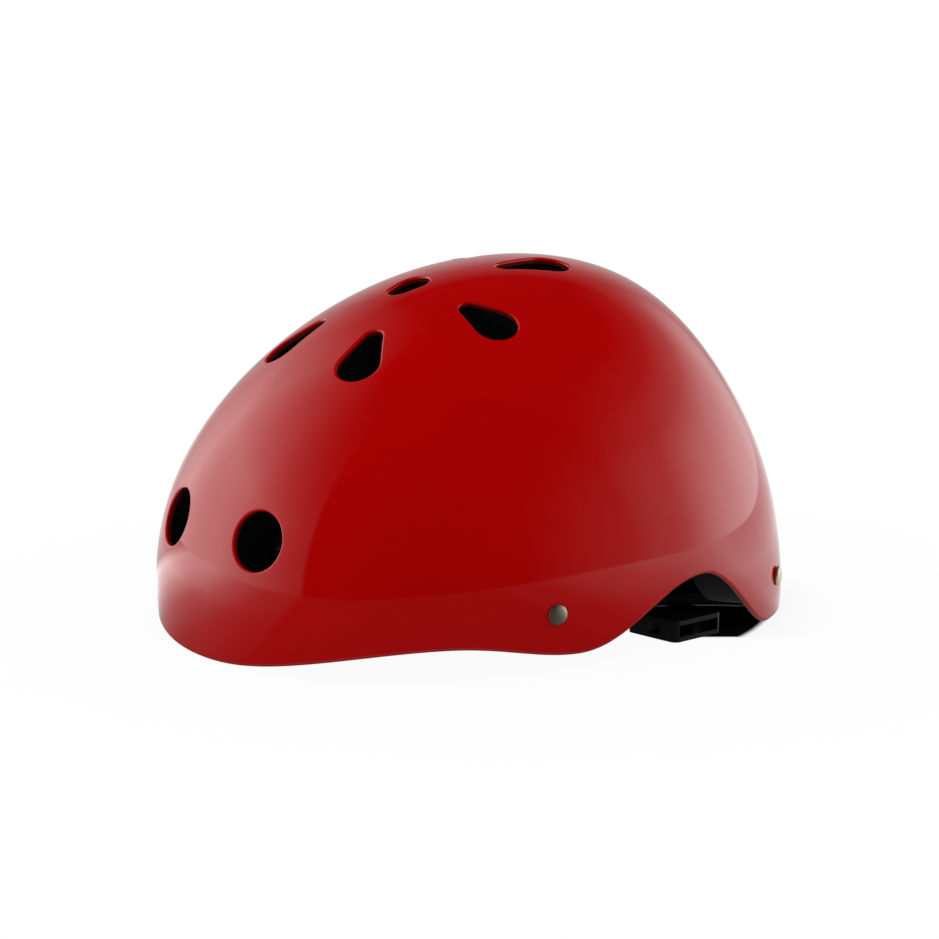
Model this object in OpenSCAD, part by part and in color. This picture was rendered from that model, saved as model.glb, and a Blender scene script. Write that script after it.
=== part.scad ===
// Skate helmet: hard shell, foam liner, pads, rivets and a tucked chin harness.
// +X is the front, +Y the wearer's left, +Z up. The origin is the centre of the
// footprint, on the surface that the rim stands on. Millimetres.

/* [Shell] */
// Distance from the crown axis to the brow
front_reach = 160.5; // [150:0.5:172]
// Distance from the crown axis to the nape
back_reach = 114.5; // [106:0.5:124]
// Width over the temples
shell_w = 222.5; // [206:0.5:240]
// Height from the rim's lowest point to the crown
shell_h = 154; // [148:0.5:164]
// Height at which the shell is widest
widest_h = 21.3; // [16:0.1:26]
// Wall of the hard shell
shell_wall = 2.6; // [2:0.1:3.4]
// Depth of the rounded lip at the rim
lip = 0.8; // [0.4:0.1:1.2]
// Fullness of the plan outline, 2 is an ellipse
plan_pow = 2.38; // [2:0.01:2.8]
// Radius of the crown curve, front to back
crown_x = 153.5; // [140:0.5:165]
// Radius of the crown curve, side to side
crown_y = 117.5; // [106:0.5:128]
// How late the crown curve takes over from the plan outline
crown_pow = 2.86; // [2.2:0.01:3.6]
// How far the shoulders are fuller at the brow
full_front = -4; // [-8:0.5:0]
// How far the shoulders are flatter at the nape
full_back = -23.5; // [-28:0.5:-14]
// How far the shoulders are flatter at the temples
full_side = -10; // [-14:0.5:-4]
// How far the low corners behind the ears are fuller
full_corner = 1.8; // [0:0.1:3]
// Height at which that fullness has faded
corner_fade = 40; // [32:1:48]
// Share of the radius by which the rim tucks in
tuck = 0.008; // [0.002:0.001:0.012]

/* [Rim] */
// Angle of the arch between brow and temple
arch_a = 42; // [36:1:46]
// Height of that arch
arch_h = 12.5; // [8:0.5:16]
// Angle of the temple lobe
lobe_a = 66.5; // [62:0.5:70]
// Height of the temple lobe
lobe_h = 5.7; // [3:0.1:8]
// Angle of the top of the ear cut-out
ear_a = 99.5; // [97:0.5:102]
// Height of the ear cut-out
ear_h = 30; // [26:0.5:34]
// Angle of the lobe behind the ear
rear_lobe_a = 124.5; // [123.5:0.5:127]
// Height of the rim at the nape
nape_h = 2.5; // [0:0.5:5]

/* [Liner] */
// Gap between the shell and the liner
liner_gap = 0.4; // [0.2:0.1:0.6]
// Liner thickness at the brow
liner_front = 25; // [20:0.5:28]
// Liner thickness at the nape
liner_back = 25; // [20:0.5:28]
// Liner thickness at the temples
liner_side = 22; // [18:0.5:25]
// Liner thickness at the crown
liner_top = 24; // [18:0.5:28]
// How far the liner stops above the rim
liner_lift = 7; // [6.5:0.1:9]
// How much wider the liner's vents are than the shell's, each side
vent_step = 1; // [0:0.1:1.6]

/* [Vents] */
// Centre of the front pair of teardrop vents, along X
pair_front_x = 72; // [70:0.5:75]
// Half spacing of the front pair
pair_front_y = 25; // [22:0.5:28]
// Length of the front pair's vents
pair_front_len = 30.5; // [28:0.5:33]
// Centre of the side pair, along X
pair_side_x = 23.5; // [21:0.5:26]
// Half spacing of the side pair
pair_side_y = 46; // [43:0.5:50]
// Length of the side pair's vents
pair_side_len = 28; // [25:0.5:31]
// Centre of the rear pair, along X
pair_rear_x = -22.5; // [-25:0.5:-20]
// Half spacing of the rear pair
pair_rear_y = 18; // [16.5:0.5:20]
// Length of the rear pair's vents
pair_rear_len = 34; // [31:0.5:36]
// Width of the teardrop vents
drop_w = 19; // [16:0.5:20]
// Width of the teardrops at their narrow end
drop_tip_w = 9; // [7:0.5:10]
// Centre of the oval vent on the midline, along X
oval_x = 30.5; // [28:0.5:33]
// Length of the oval vent
oval_len = 19.5; // [17:0.5:21]
// Width of the oval vent
oval_w = 15; // [12:0.5:16]
// Diameter of the round brow vents
brow_vent_d = 25; // [22:0.5:27]
// Half spacing of the round brow vents
brow_vent_y = 30.5; // [27:0.5:34]
// Height of the round brow vents
brow_vent_h = 53.5; // [50:0.5:57]
// Diameter of the round nape vents
nape_vent_d = 24; // [20:0.5:27]
// Half spacing of the round nape vents
nape_vent_y = 32; // [28:0.5:36]
// Height of the round nape vents
nape_vent_h = 66; // [62:0.5:70]

/* [Pads] */
// Thickness of the comfort pads
pad_t = 7; // [5:0.5:8]
// Diameter of the hook-and-loop dots
dot_d = 14; // [10:0.5:16]
// Thickness of the hook-and-loop dots
dot_t = 1; // [0.8:0.1:1.4]

/* [Harness] */
// Width of the webbing
web_w = 20; // [18:0.5:22]
// Thickness of the webbing
web_t = 1.3; // [1:0.1:1.5]
// Angle of the front anchor rivet
anchor_front_a = 61.5; // [60:0.5:63]
// Height of the front anchor rivet
anchor_front_h = 23.6; // [22:0.1:26]
// Angle of the rear anchor rivet
anchor_rear_a = 129.5; // [128:0.1:131]
// Height of the rear anchor rivet
anchor_rear_h = 17.5; // [16.5:0.1:19]
// Diameter of the rivet head
rivet_d = 8.5; // [7.5:0.5:10]
// Height of the rivet head
rivet_dome = 2; // [1.6:0.1:2.6]
// Diameter of the rivet shank
shank_d = 4.8; // [4:0.1:5.4]
// Diameter of the rivet washer
washer_d = 12; // [10:0.5:13]
// Height of the front fold line of the webbing
fold_front_h = 7.4; // [7.2:0.1:8]
// Height of the rear fold line of the webbing
fold_rear_h = 5.6; // [5.4:0.1:5.8]
// Place of the strap divider along X
divider_x = -38.5; // [-42:0.5:-34]
// Place of the strap divider from the midline
divider_y = 51; // [49:0.5:53]
// Height of the strap divider above the floor
divider_h = 6.4; // [6.3:0.1:6.8]
// Height of the divider plate, along the straps
divider_len = 21; // [18:0.5:22]
// Thickness of the divider
divider_t = 4.4; // [4:0.1:4.6]
// Reach of each chin strap from its fold to the end of its buckle half
chin_len = 66; // [63:0.5:67]

/* [Buckle] */
// Width of the buckle
buckle_w = 29; // [27:0.5:31]
// Thickness of the buckle
buckle_t = 9; // [8.6:0.1:9.2]
// Length of the socket half
socket_len = 28; // [27:0.5:30]
// Length of the plug half's base
plug_base_len = 12; // [11:0.5:12.5]
// Wall of the socket
socket_wall = 2; // [1.6:0.1:2.2]
// Width of each latch prong
prong_w = 4; // [3.4:0.1:4.2]

/* [Hidden] */

clear = 0.3;
eps = 0.01;
axis_x = (back_reach - front_reach) / 2;

// Insets from the outer surface at the brow, nape, temples and crown
skin = [0, 0, 0, 0];
wall_in = shell_wall * [1, 1, 1, 1];
liner_out = (shell_wall + liner_gap) * [1, 1, 1, 1];
liner_in = liner_out + [liner_front, liner_back, liner_side, liner_top];

function sq(v) = v * v;
function unit(v) = v / norm(v);
function ease(t) = (1 - cos(180 * t)) / 2;

// Radius of the plan outline at angle a
function plan_r(a, inset) = let (
        reach = cos(a) > 0 ? front_reach - inset[0] : back_reach - inset[1],
        half = shell_w / 2 - inset[2])
    pow(pow(abs(cos(a)) / reach, plan_pow) + pow(abs(sin(a)) / half, plan_pow), -1 / plan_pow);

// Radius of the crown's curve at angle a
function crown_r(a, inset) =
    pow(sq(cos(a) / (crown_x - inset[0])) + sq(sin(a) / (crown_y - inset[2])), -0.5);

function shoulder(a) =
    full_front * sq(max(cos(a), 0)) + full_back * sq(max(-cos(a), 0)) + full_side * sq(sin(a));

// Extra radius of the low corners behind the ears
function corner(a, z) = let (t = min(max(z / corner_fade, 0), 1))
    cos(a) < 0 ? full_corner * sq(sin(2 * a)) * (1 - t * t * (3 - 2 * t)) : 0;

// Radius of the dome at angle a and height z
function dome_r(a, z, inset) = let (
        rise = (z - widest_h) / (shell_h - inset[3] - widest_h),
        lift = asin(min(max(rise, 0), 1)),
        w = pow(sin(lift), crown_pow))
    corner(a, z) + (z < widest_h
        ? plan_r(a, inset) * (1 - tuck * sq((widest_h - z) / widest_h))
        : cos(lift) * (plan_r(a, inset) * (1 - w) + crown_r(a, inset) * w)
            + shoulder(a) * sq(sin(lift) * cos(lift)));

function dome_at(a, z, inset) = let (r = dome_r(a, z, inset)) [axis_x + r * cos(a), r * sin(a), z];

// Height of the dome over the plan point at angle a and radius r
function dome_z(a, r, inset, low, high, n = 22) = let (mid = (low + high) / 2)
    n == 0 ? mid
        : dome_r(a, mid, inset) > r ? dome_z(a, r, inset, mid, high, n - 1)
        : dome_z(a, r, inset, low, mid, n - 1);

// Outward normal of the dome
function dome_n(a, z, inset) = unit(cross(
    dome_at(a + 0.5, z, inset) - dome_at(a - 0.5, z, inset),
    dome_at(a, z + 0.3, inset) - dome_at(a, z - 0.3, inset)));

// Height of the rim at angle a, through the brow, arch, lobe, ear and nape
rim_a = [0, arch_a, lobe_a, ear_a, rear_lobe_a, 180];
rim_h = [0, arch_h, lobe_h, ear_h, 0, nape_h];
function from_front(a) = let (b = ((a % 360) + 360) % 360) b > 180 ? 360 - b : b;
function rim_z(a) = let (b = from_front(a),
        i = b >= 180 ? 4 : [for (k = [0:4]) if (b >= rim_a[k] && b < rim_a[k + 1]) k][0])
    rim_h[i] + (rim_h[i + 1] - rim_h[i]) * ease((b - rim_a[i]) / (rim_a[i + 1] - rim_a[i]));

// A closed bowl between two insets, cut off along the rim
module bowl(outer, inner, lift, edge, around, up) {
    ring = function (inset, j) let (top = shell_h - inset[3])
        [for (k = [0:around - 1]) let (a = 360 * k / around, z0 = rim_z(a) + lift + edge)
            dome_at(a, z0 + (top - z0) * sin(90 * j / up), inset)];
    lip_ring = [for (k = [0:around - 1]) let (a = 360 * k / around)
        dome_at(a, rim_z(a) + lift, (outer + inner) / 2)];
    points = concat([for (j = [0:up - 1]) each ring(outer, j)], [for (j = [0:up - 1]) each ring(inner, j)],
        lip_ring, [[axis_x, 0, shell_h - outer[3]], [axis_x, 0, shell_h - inner[3]]]);
    half = around * up;
    lip_at = 2 * half;
    pole = lip_at + around;
    next = function (k) (k + 1) % around;
    faces = concat(
        [for (j = [0:up - 2], k = [0:around - 1]) let (p = j * around)
            each [[p + k, p + around + next(k), p + next(k)],
                [p + k, p + around + k, p + around + next(k)]]],
        [for (j = [0:up - 2], k = [0:around - 1]) let (p = half + j * around)
            each [[p + k, p + next(k), p + around + next(k)],
                [p + k, p + around + next(k), p + around + k]]],
        [for (k = [0:around - 1]) [half - around + k, pole, half - around + next(k)]],
        [for (k = [0:around - 1]) [lip_at - around + k, lip_at - around + next(k), pole + 1]],
        [for (k = [0:around - 1]) each [[k, next(k), lip_at + next(k)], [k, lip_at + next(k), lip_at + k]]],
        [for (k = [0:around - 1]) each [[lip_at + k, lip_at + next(k), half + next(k)],
            [lip_at + k, half + next(k), half + k]]]);
    polyhedron(points, faces);
}

// Places children at a point of the outer surface, Z along the normal, X towards heading
module on_dome(a, z, heading) {
    n = dome_n(a, z, skin);
    v = unit(cross(n, [cos(heading), sin(heading), 0]));
    u = cross(v, n);
    p = dome_at(a, z, skin);
    multmatrix([[u[0], v[0], n[0], p[0]], [u[1], v[1], n[1], p[1]], [u[2], v[2], n[2], p[2]], [0, 0, 0, 1]])
        children();
}

// Places children over a plan point of the dome
module over_plan(x, y, heading) {
    a = atan2(y, x - axis_x);
    z = dome_z(a, norm([x - axis_x, y]), skin, widest_h, shell_h);
    on_dome(a, z, heading) children();
}

// Teardrop outline, centred on its length, the narrow end towards +X
module drop(len, w, tip_w, grow) {
    big = w / 2 + grow;
    tip = tip_w / 2 + grow;
    gap = len - w / 2 - tip_w / 2;
    turn = acos((big - tip) / gap);
    start = (w - len) / 2;
    steps = 10;
    polygon(concat(
        [for (k = [0:steps]) let (t = turn + (360 - 2 * turn) * k / steps)
            [start + big * cos(t), big * sin(t)]],
        [for (k = [0:steps / 2]) let (t = -turn + 2 * turn * k / (steps / 2))
            [start + gap + tip * cos(t), tip * sin(t)]]));
}

// How far the teardrops' narrow ends are turned from the midline
front_turn = 27;
side_turn = 80;
rear_turn = 10;
// The oval vent's narrow end, as a share of its width
oval_taper = 0.8;

// All the vents as cutters that reach from outside the shell to a depth
module vent_cutters(depth, grow) {
    above = 10;
    brow_a = asin(brow_vent_y / dome_r(0, brow_vent_h, skin));
    nape_a = 180 - asin(nape_vent_y / dome_r(180, nape_vent_h, skin));
    for (side = [-1, 1]) {
        over_plan(pair_front_x, side * pair_front_y, 180 + side * front_turn) translate([0, 0, -depth])
            linear_extrude(depth + above) drop(pair_front_len, drop_w, drop_tip_w, grow);
        over_plan(pair_side_x, side * pair_side_y, -side * side_turn) translate([0, 0, -depth])
            linear_extrude(depth + above) drop(pair_side_len, drop_w, drop_tip_w, grow);
        over_plan(pair_rear_x, side * pair_rear_y, -side * rear_turn) translate([0, 0, -depth])
            linear_extrude(depth + above) drop(pair_rear_len, drop_w, drop_tip_w, grow);
        on_dome(side * brow_a, brow_vent_h, 90) translate([0, 0, -depth])
            cylinder(h = depth + above, d = brow_vent_d + 2 * grow, $fn = 40);
        on_dome(side * nape_a, nape_vent_h, 90) translate([0, 0, -depth])
            cylinder(h = depth + above, d = nape_vent_d + 2 * grow, $fn = 40);
    }
    over_plan(oval_x, 0, 0) translate([0, 0, -depth])
        linear_extrude(depth + above) drop(oval_len, oval_w, oval_w * oval_taper, grow);
}

// Mirrors a left-hand piece for the right side
module on_side(side) {
    mirror([0, side > 0 ? 0 : 1, 0]) children();
}

// Places children at a left anchor, X up and Z outward
module at_anchor(a, z) {
    n = unit([dome_n(a, z, skin)[0], dome_n(a, z, skin)[1], 0]);
    u = [0, 0, 1];
    v = cross(n, u);
    p = dome_at(a, z, skin);
    multmatrix([[u[0], v[0], n[0], p[0]], [u[1], v[1], n[1], p[1]], [u[2], v[2], n[2], p[2]], [0, 0, 0, 1]])
        children();
}

module front_anchor(side) {
    on_side(side) at_anchor(anchor_front_a, anchor_front_h) children();
}

module rear_anchor(side) {
    on_side(side) at_anchor(anchor_rear_a, anchor_rear_h) children();
}

// Depths below the outer surface at an anchor; the tab is flat and the shell curves
tab_gap = 1.7;
tab_out = shell_wall + tab_gap;
tab_in = tab_out + web_t;
washer_t = 0.8;
washer_in = tab_in + 0.1 + washer_t;
flare_len = 1.6;
bore_gap = 0.2;
// Webbing above the rivet, and the room round it in the liner
tab_up = 9;
tab_room = 1.2;
pocket_in = tab_in + tab_room / 2;
// How far cutters reach beyond the outer surface
beyond = 5;

module outer_shell() {
    color("firebrick") difference() {
        bowl(skin, wall_in, 0, lip, 80, 17);
        vent_cutters(14, 0);
        for (side = [-1, 1]) {
            front_anchor(side) anchor_bore();
            rear_anchor(side) anchor_bore();
        }
    }
}

module anchor_bore() {
    translate([0, 0, -3 * shell_wall]) cylinder(h = 6 * shell_wall, d = shank_d + bore_gap, $fn = 32);
}

// Recess for the set end of a rivet, and the slot its webbing runs down in
module anchor_pocket(z) {
    recess = washer_in + flare_len + 2;
    translate([0, 0, -recess]) cylinder(h = recess + beyond, d = washer_d + 2, $fn = 32);
    translate([-z, -web_w / 2 - tab_room, -pocket_in])
        cube([z + tab_up + tab_room, web_w + 2 * tab_room, pocket_in + beyond]);
}

module eps_liner() {
    color([0.08, 0.08, 0.09]) difference() {
        bowl(liner_out, liner_in, liner_lift, 0, 60, 12);
        vent_cutters(48, vent_step);
        for (side = [-1, 1]) {
            front_anchor(side) anchor_pocket(anchor_front_h);
            rear_anchor(side) anchor_pocket(anchor_rear_h);
        }
    }
}

// Space between the liner and the back of a dot, and of a pad
dot_off = 1;
pad_off = dot_off + dot_t + clear;

// A crowned pad over a stretch of the liner's inside, its sides drawn in to a thin edge
module pad(a0, a1, low, high, na, nz) {
    back = liner_in + pad_off * [1, 1, 1, 1];
    at = function (i, j, t) let (u = i / na, v = j / nz, a = a0 + (a1 - a0) * u,
            round_off = 0.22 * (high - low) * (pow(abs(2 * u - 1), 6)),
            z = low + round_off + (high - low - 2 * round_off) * v)
        dome_at(a, z, back + t * [1, 1, 1, 1]);
    thick = function (i, j) let (u = i / na, v = j / nz)
        pad_t * (0.3 + 0.7 * pow(sin(180 * u), 0.3) * pow(sin(180 * v), 0.45));
    rows = nz + 1;
    count = (na + 1) * rows;
    points = concat(
        [for (i = [0:na], j = [0:nz]) at(i, j, 0)],
        [for (i = [0:na], j = [0:nz]) at(i, j, thick(i, j))]);
    edge = concat([for (i = [0:na - 1]) i * rows], [for (j = [0:nz - 1]) na * rows + j],
        [for (i = [na:-1:1]) i * rows + nz], [for (j = [nz:-1:1]) j]);
    m = len(edge);
    faces = concat(
        [for (i = [0:na - 1], j = [0:nz - 1]) let (p = i * rows + j)
            each [[p, p + 1, p + rows + 1], [p, p + rows + 1, p + rows]]],
        [for (i = [0:na - 1], j = [0:nz - 1]) let (p = count + i * rows + j)
            each [[p, p + rows + 1, p + 1], [p, p + rows, p + rows + 1]]],
        [for (k = [0:m - 1]) let (p = edge[k], q = edge[(k + 1) % m])
            each [[p, q, count + q], [p, count + q, count + p]]]);
    polyhedron(points, faces);
}

// Edges of the pads: heights, and angles from the front
brow_low = arch_h + liner_lift - 1;
brow_top = 37;
brow_half = 38;
side_low = 42;
side_top = 74;
side_from = 68;
side_to = 118;
nape_low = 11;
nape_top = 44;
nape_half = 38;
crown_low = 96;
crown_high = 120;
crown_half = 30;

module brow_pad() {
    color([0.12, 0.12, 0.13]) pad(-brow_half, brow_half, brow_low, brow_top, 30, 7);
}

module side_pad_left() {
    color([0.12, 0.12, 0.13]) pad(side_from, side_to, side_low, side_top, 20, 7);
}

module side_pad_right() {
    color([0.12, 0.12, 0.13]) pad(360 - side_to, 360 - side_from, side_low, side_top, 20, 7);
}

module nape_pad() {
    color([0.12, 0.12, 0.13]) pad(180 - nape_half, 180 + nape_half, nape_low, nape_top, 26, 7);
}

module crown_pad() {
    color([0.12, 0.12, 0.13]) pad(180 - crown_half, 180 + crown_half, crown_low, crown_high, 20, 8);
}

// One hook-and-loop dot on the liner's inside
module dot(a, z) {
    off = liner_in + dot_off * [1, 1, 1, 1];
    n = dome_n(a, z, off);
    v = unit(cross(n, [0, 0, 1]));
    u = cross(v, n);
    p = dome_at(a, z, off);
    multmatrix([[u[0], v[0], -n[0], p[0]], [u[1], v[1], -n[1], p[1]], [u[2], v[2], -n[2], p[2]],
        [0, 0, 0, 1]])
        cylinder(h = dot_t, d = dot_d, $fn = 28);
}

module hook_dots() {
    color([0.2, 0.2, 0.2]) {
        for (a = [-24, 0, 24]) dot(a, (brow_low + brow_top) / 2 + 0.5);
        for (a = [-106, -82, 82, 106]) dot(a, (side_low + side_top) / 2);
        for (a = [158, 180, 202]) dot(a, (nape_low + nape_top) / 2);
        for (a = [168, 192]) dot(a, (crown_low + crown_high) / 2);
    }
}

// Semi-tubular rivet: domed head outside, shank through the wall, flared inside
module rivet() {
    r = rivet_d / 2;
    s = shank_d / 2;
    seat = 0.2;
    head_rim = 0.5;
    tube_wall = 1;
    steps = 8;
    set_end = [[s, -0.1], [s + 1.4, -0.3], [s + 1.2, -0.9], [s - 0.2, -flare_len],
        [s - tube_wall, -flare_len], [s - tube_wall, 2], [0, 2]];
    color("gray") rotate_extrude($fn = 40) polygon(concat(
        [[0, seat + rivet_dome]],
        [for (k = [1:steps]) let (t = 90 * k / steps)
            [r * sin(t), seat + head_rim + (rivet_dome - head_rim) * cos(t)]],
        [[r, seat], [s, seat]],
        [for (q = set_end) q - [0, washer_in]]));
}

module washer() {
    color("silver") translate([0, 0, -washer_in]) difference() {
        cylinder(h = washer_t, d = washer_d, $fn = 40);
        translate([0, 0, -1]) cylinder(h = washer_t + 2, d = shank_d + bore_gap, $fn = 32);
    }
}

// The plane of a left yoke: origin on the front fold, S to the rear fold, T inward, N up
fold_inset = 10;
function fold_at(a, z) = let (p = dome_at(a, widest_h, fold_inset * [1, 1, 1, 1])) [p[0], p[1], z];
fold_front = fold_at(anchor_front_a, fold_front_h);
fold_rear = fold_at(anchor_rear_a, fold_rear_h);
divider_p = [divider_x, divider_y, divider_h];
yoke_s = unit(fold_rear - fold_front);
yoke_n = unit(cross(yoke_s, divider_p - fold_front));
yoke_t = cross(yoke_n, yoke_s);
yoke_len = norm(fold_rear - fold_front);
div_s = (divider_p - fold_front) * yoke_s;
div_t = (divider_p - fold_front) * yoke_t;

module in_yoke() {
    multmatrix([[yoke_s[0], yoke_t[0], yoke_n[0], fold_front[0]],
        [yoke_s[1], yoke_t[1], yoke_n[1], fold_front[1]],
        [yoke_s[2], yoke_t[2], yoke_n[2], fold_front[2]], [0, 0, 0, 1]]) children();
}

// Outline of a flat strip of width w along a path in the plane
function strip(path, w) = let (
        m = len(path) - 1,
        dir = [for (k = [0:m]) unit(path[min(k + 1, m)] - path[max(k - 1, 0)])])
    concat([for (k = [0:m]) path[k] + w / 2 * [-dir[k][1], dir[k][0]]],
        [for (k = [m:-1:0]) path[k] - w / 2 * [-dir[k][1], dir[k][0]]]);

function bezier(p, q, r, steps) =
    [for (k = [0:steps]) let (t = k / steps) sq(1 - t) * p + 2 * t * (1 - t) * q + sq(t) * r];

// Each leg leaves its fold straight inward, then bends over to the divider
fold_slack = 0.2;
leg_bend = [5, 14];
leg_end = [6, 8];
front_path = bezier([0, fold_slack], leg_bend, [div_s + leg_end[0], div_t + leg_end[1]], 8);
rear_path = bezier([yoke_len, fold_slack], [yoke_len - leg_bend[0], leg_bend[1]],
    [div_s - leg_end[0], div_t + leg_end[1]], 8);

// Flat webbing in the yoke's plane, from a fold to the middle of the divider
module leg_shape(path, toward, grow) {
    far = 200;
    half_gap = 0.2;
    mitre = half_gap - grow;
    lower = div_t + divider_len / 2 - 1 + grow;
    intersection() {
        translate([0, 0, -web_t / 2 - grow]) linear_extrude(web_t + 2 * grow)
            polygon(strip(path, web_w + 2 * grow));
        translate([toward > 0 ? div_s + mitre : div_s - mitre - far, fold_slack - grow, -5])
            cube([far, lower - fold_slack + grow, 10]);
    }
}

module leg(front) {
    color([0.15, 0.15, 0.16]) in_yoke() leg_shape(front ? front_path : rear_path, front ? -1 : 1, 0);
}

// Lock divider: a hollow plate that both legs run into
module divider() {
    wide = 19;
    narrow = 11.5;
    corner = 2.5;
    h = divider_len / 2 - corner;
    web_gap = 0.3;
    color([0.1, 0.1, 0.1]) in_yoke() difference() {
        translate([div_s, div_t, -divider_t / 2]) linear_extrude(divider_t)
            offset(r = corner, $fn = 24)
                polygon([[-wide + corner, -h], [wide - corner, -h],
                    [narrow - corner, h], [-narrow + corner, h]]);
        leg_shape(front_path, -1, web_gap);
        leg_shape(rear_path, 1, web_gap);
    }
}

// A fixed tab: down the wall from the rivet, then a foot to the fold line
module tab(a, z, fold) {
    foot_z = fold[2];
    along = web_w / 2 - 1;
    n = unit([dome_n(a, z, skin)[0], dome_n(a, z, skin)[1], 0]);
    v = [n[1], -n[0], 0];
    wall = dome_at(a, z, skin) - tab_in * n;
    out = wall + web_t * n;
    color([0.15, 0.15, 0.16]) {
        difference() {
            union() {
                at_anchor(a, z) translate([foot_z - z - web_t / 2, -web_w / 2, -tab_in])
                    cube([z - foot_z + web_t / 2 + tab_up, web_w, web_t]);
                translate([0, 0, foot_z - web_t / 2]) linear_extrude(web_t) polygon([
                    [out[0] + v[0] * web_w / 2, out[1] + v[1] * web_w / 2],
                    [out[0] - v[0] * web_w / 2, out[1] - v[1] * web_w / 2],
                    [fold[0] + yoke_s[0] * along - yoke_t[0] * fold_slack,
                        fold[1] + yoke_s[1] * along - yoke_t[1] * fold_slack],
                    [fold[0] - yoke_s[0] * along - yoke_t[0] * fold_slack,
                        fold[1] - yoke_s[1] * along - yoke_t[1] * fold_slack]]);
            }
            at_anchor(a, z) translate([0, 0, -tab_in - beyond])
                cylinder(h = tab_in + 2 * beyond, d = shank_d + bore_gap, $fn = 32);
        }
    }
}

// The fold below the divider: X forward, Y outward along the tucked strap, Z up
roll_r = (divider_t / 2 + clear + 1.5 * web_t) / 2;
roll_gap = 0.4;
chin_t = div_t + divider_len / 2 + roll_gap + roll_r;
chin_p = fold_front + div_s * yoke_s + chin_t * yoke_t - (roll_r - web_t / 2) * yoke_n;

module in_chin() {
    multmatrix([[-yoke_s[0], -yoke_t[0], yoke_n[0], chin_p[0]],
        [-yoke_s[1], -yoke_t[1], yoke_n[1], chin_p[1]],
        [-yoke_s[2], -yoke_t[2], yoke_n[2], chin_p[2]], [0, 0, 0, 1]]) children();
}

strap_z = -(roll_r - web_t / 2);
buckle_z = 0.4;
bar_r = 1.6;
loop_len = 8;
socket_y = chin_len - socket_len;
plug_reach = 19;
plug_y = chin_len - plug_reach - plug_base_len;

// Chin webbing: the roll at the fold, the flat strap and its sewn loop round a bar
module chin_strap(bar_y) {
    join_y = bar_y - loop_len;
    hole = bar_r + 0.2;
    color([0.15, 0.15, 0.16]) in_chin() rotate([90, 0, 90]) translate([0, 0, -web_w / 2])
        linear_extrude(web_w) difference() {
            union() {
                circle(r = roll_r, $fn = 28);
                translate([0, -roll_r]) square([join_y + eps, web_t]);
                hull() {
                    translate([join_y, -roll_r]) square([eps, web_t]);
                    translate([bar_y, buckle_z]) circle(r = hole + web_t, $fn = 28);
                }
            }
            hull() {
                translate([join_y + 3.5, strap_z + 0.6]) circle(r = 0.1, $fn = 12);
                translate([bar_y, buckle_z]) circle(r = hole, $fn = 28);
            }
        }
}

// Rubber ring that holds the webbing's free end against the strap
module tail_keeper() {
    wall = 1;
    room = 0.2;
    len = 3;
    low = -roll_r - room;
    high = strap_z + web_t / 2 + 2;
    start = plug_y + bar_r - loop_len + room;
    inside = web_w + 2 * room;
    color([0.1, 0.1, 0.1]) on_side(-1) in_chin() translate([0, start, 0]) difference() {
        translate([-inside / 2 - wall, 0, low - wall])
            cube([inside + 2 * wall, len, high - low + 2 * wall]);
        translate([-inside / 2, -1, low]) cube([inside, len + 2, high - low]);
    }
}

// Rounded plate in the chin's plane, y0 to y1 long and w wide
module plate(y0, y1, w, t, corner) {
    translate([0, 0, -t / 2]) linear_extrude(t) offset(r = corner, $fn = 24)
        translate([-w / 2 + corner, y0 + corner]) square([w - 2 * corner, y1 - y0 - 2 * corner]);
}

// The window behind a strap bar, and the bar across it
bar_room = 2 * bar_r + 0.6;
module strap_window(y0, slot) {
    wide = web_w + 1.2;
    translate([-wide / 2, y0 - 1, -buckle_t]) cube([wide, bar_room + slot + 1, 2 * buckle_t]);
}

module strap_bar(y0) {
    long = web_w + 2;
    translate([-long / 2, y0 + bar_r, 0]) rotate([0, 90, 0]) cylinder(h = long, r = bar_r, $fn = 28);
}

mouth_w = buckle_w - 2 * socket_wall - 1.2;

// Socket half: strap bar at the back, a mouth in front and a window each side
module buckle_socket() {
    y0 = socket_y;
    y1 = chin_len;
    inner_t = buckle_t - 2 * socket_wall;
    back_wall = 1.5;
    window_at = 9;
    window_len = 7;
    color([0.06, 0.06, 0.06]) in_chin() translate([0, 0, buckle_z]) {
        difference() {
            plate(y0, y1, buckle_w, buckle_t, 3);
            translate([-mouth_w / 2, y0 + bar_room + 5 + back_wall, -inner_t / 2])
                cube([mouth_w, socket_len, inner_t]);
            translate([-buckle_w / 2 - 1, y1 - window_at - window_len, -inner_t / 2])
                cube([buckle_w + 2, window_len, inner_t]);
            strap_window(y0, 5);
        }
        strap_bar(y0);
    }
}

// Plug half: strap bar at the back and a fixed guide blade in front
module buckle_plug() {
    y0 = plug_y;
    y1 = plug_y + plug_base_len;
    guide_w = 7;
    guide_t = 3;
    color([0.06, 0.06, 0.06]) on_side(-1) in_chin() translate([0, 0, buckle_z]) {
        difference() {
            plate(y0, y1, buckle_w, buckle_t - 1, 2.5);
            strap_window(y0, 4);
            for (s = [-1, 1]) translate([s * prong_x, y1, -buckle_t])
                cylinder(h = 2 * buckle_t, r = prong_root + clear, $fn = 28);
        }
        strap_bar(y0);
        plate(y1 - 1, chin_len - 2, guide_w, guide_t, 1.2);
    }
}

prong_root = prong_w / 2;
prong_x = mouth_w / 2 - 0.7 - prong_root;
prong_t = buckle_t - 2 * socket_wall - 0.8;

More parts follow.
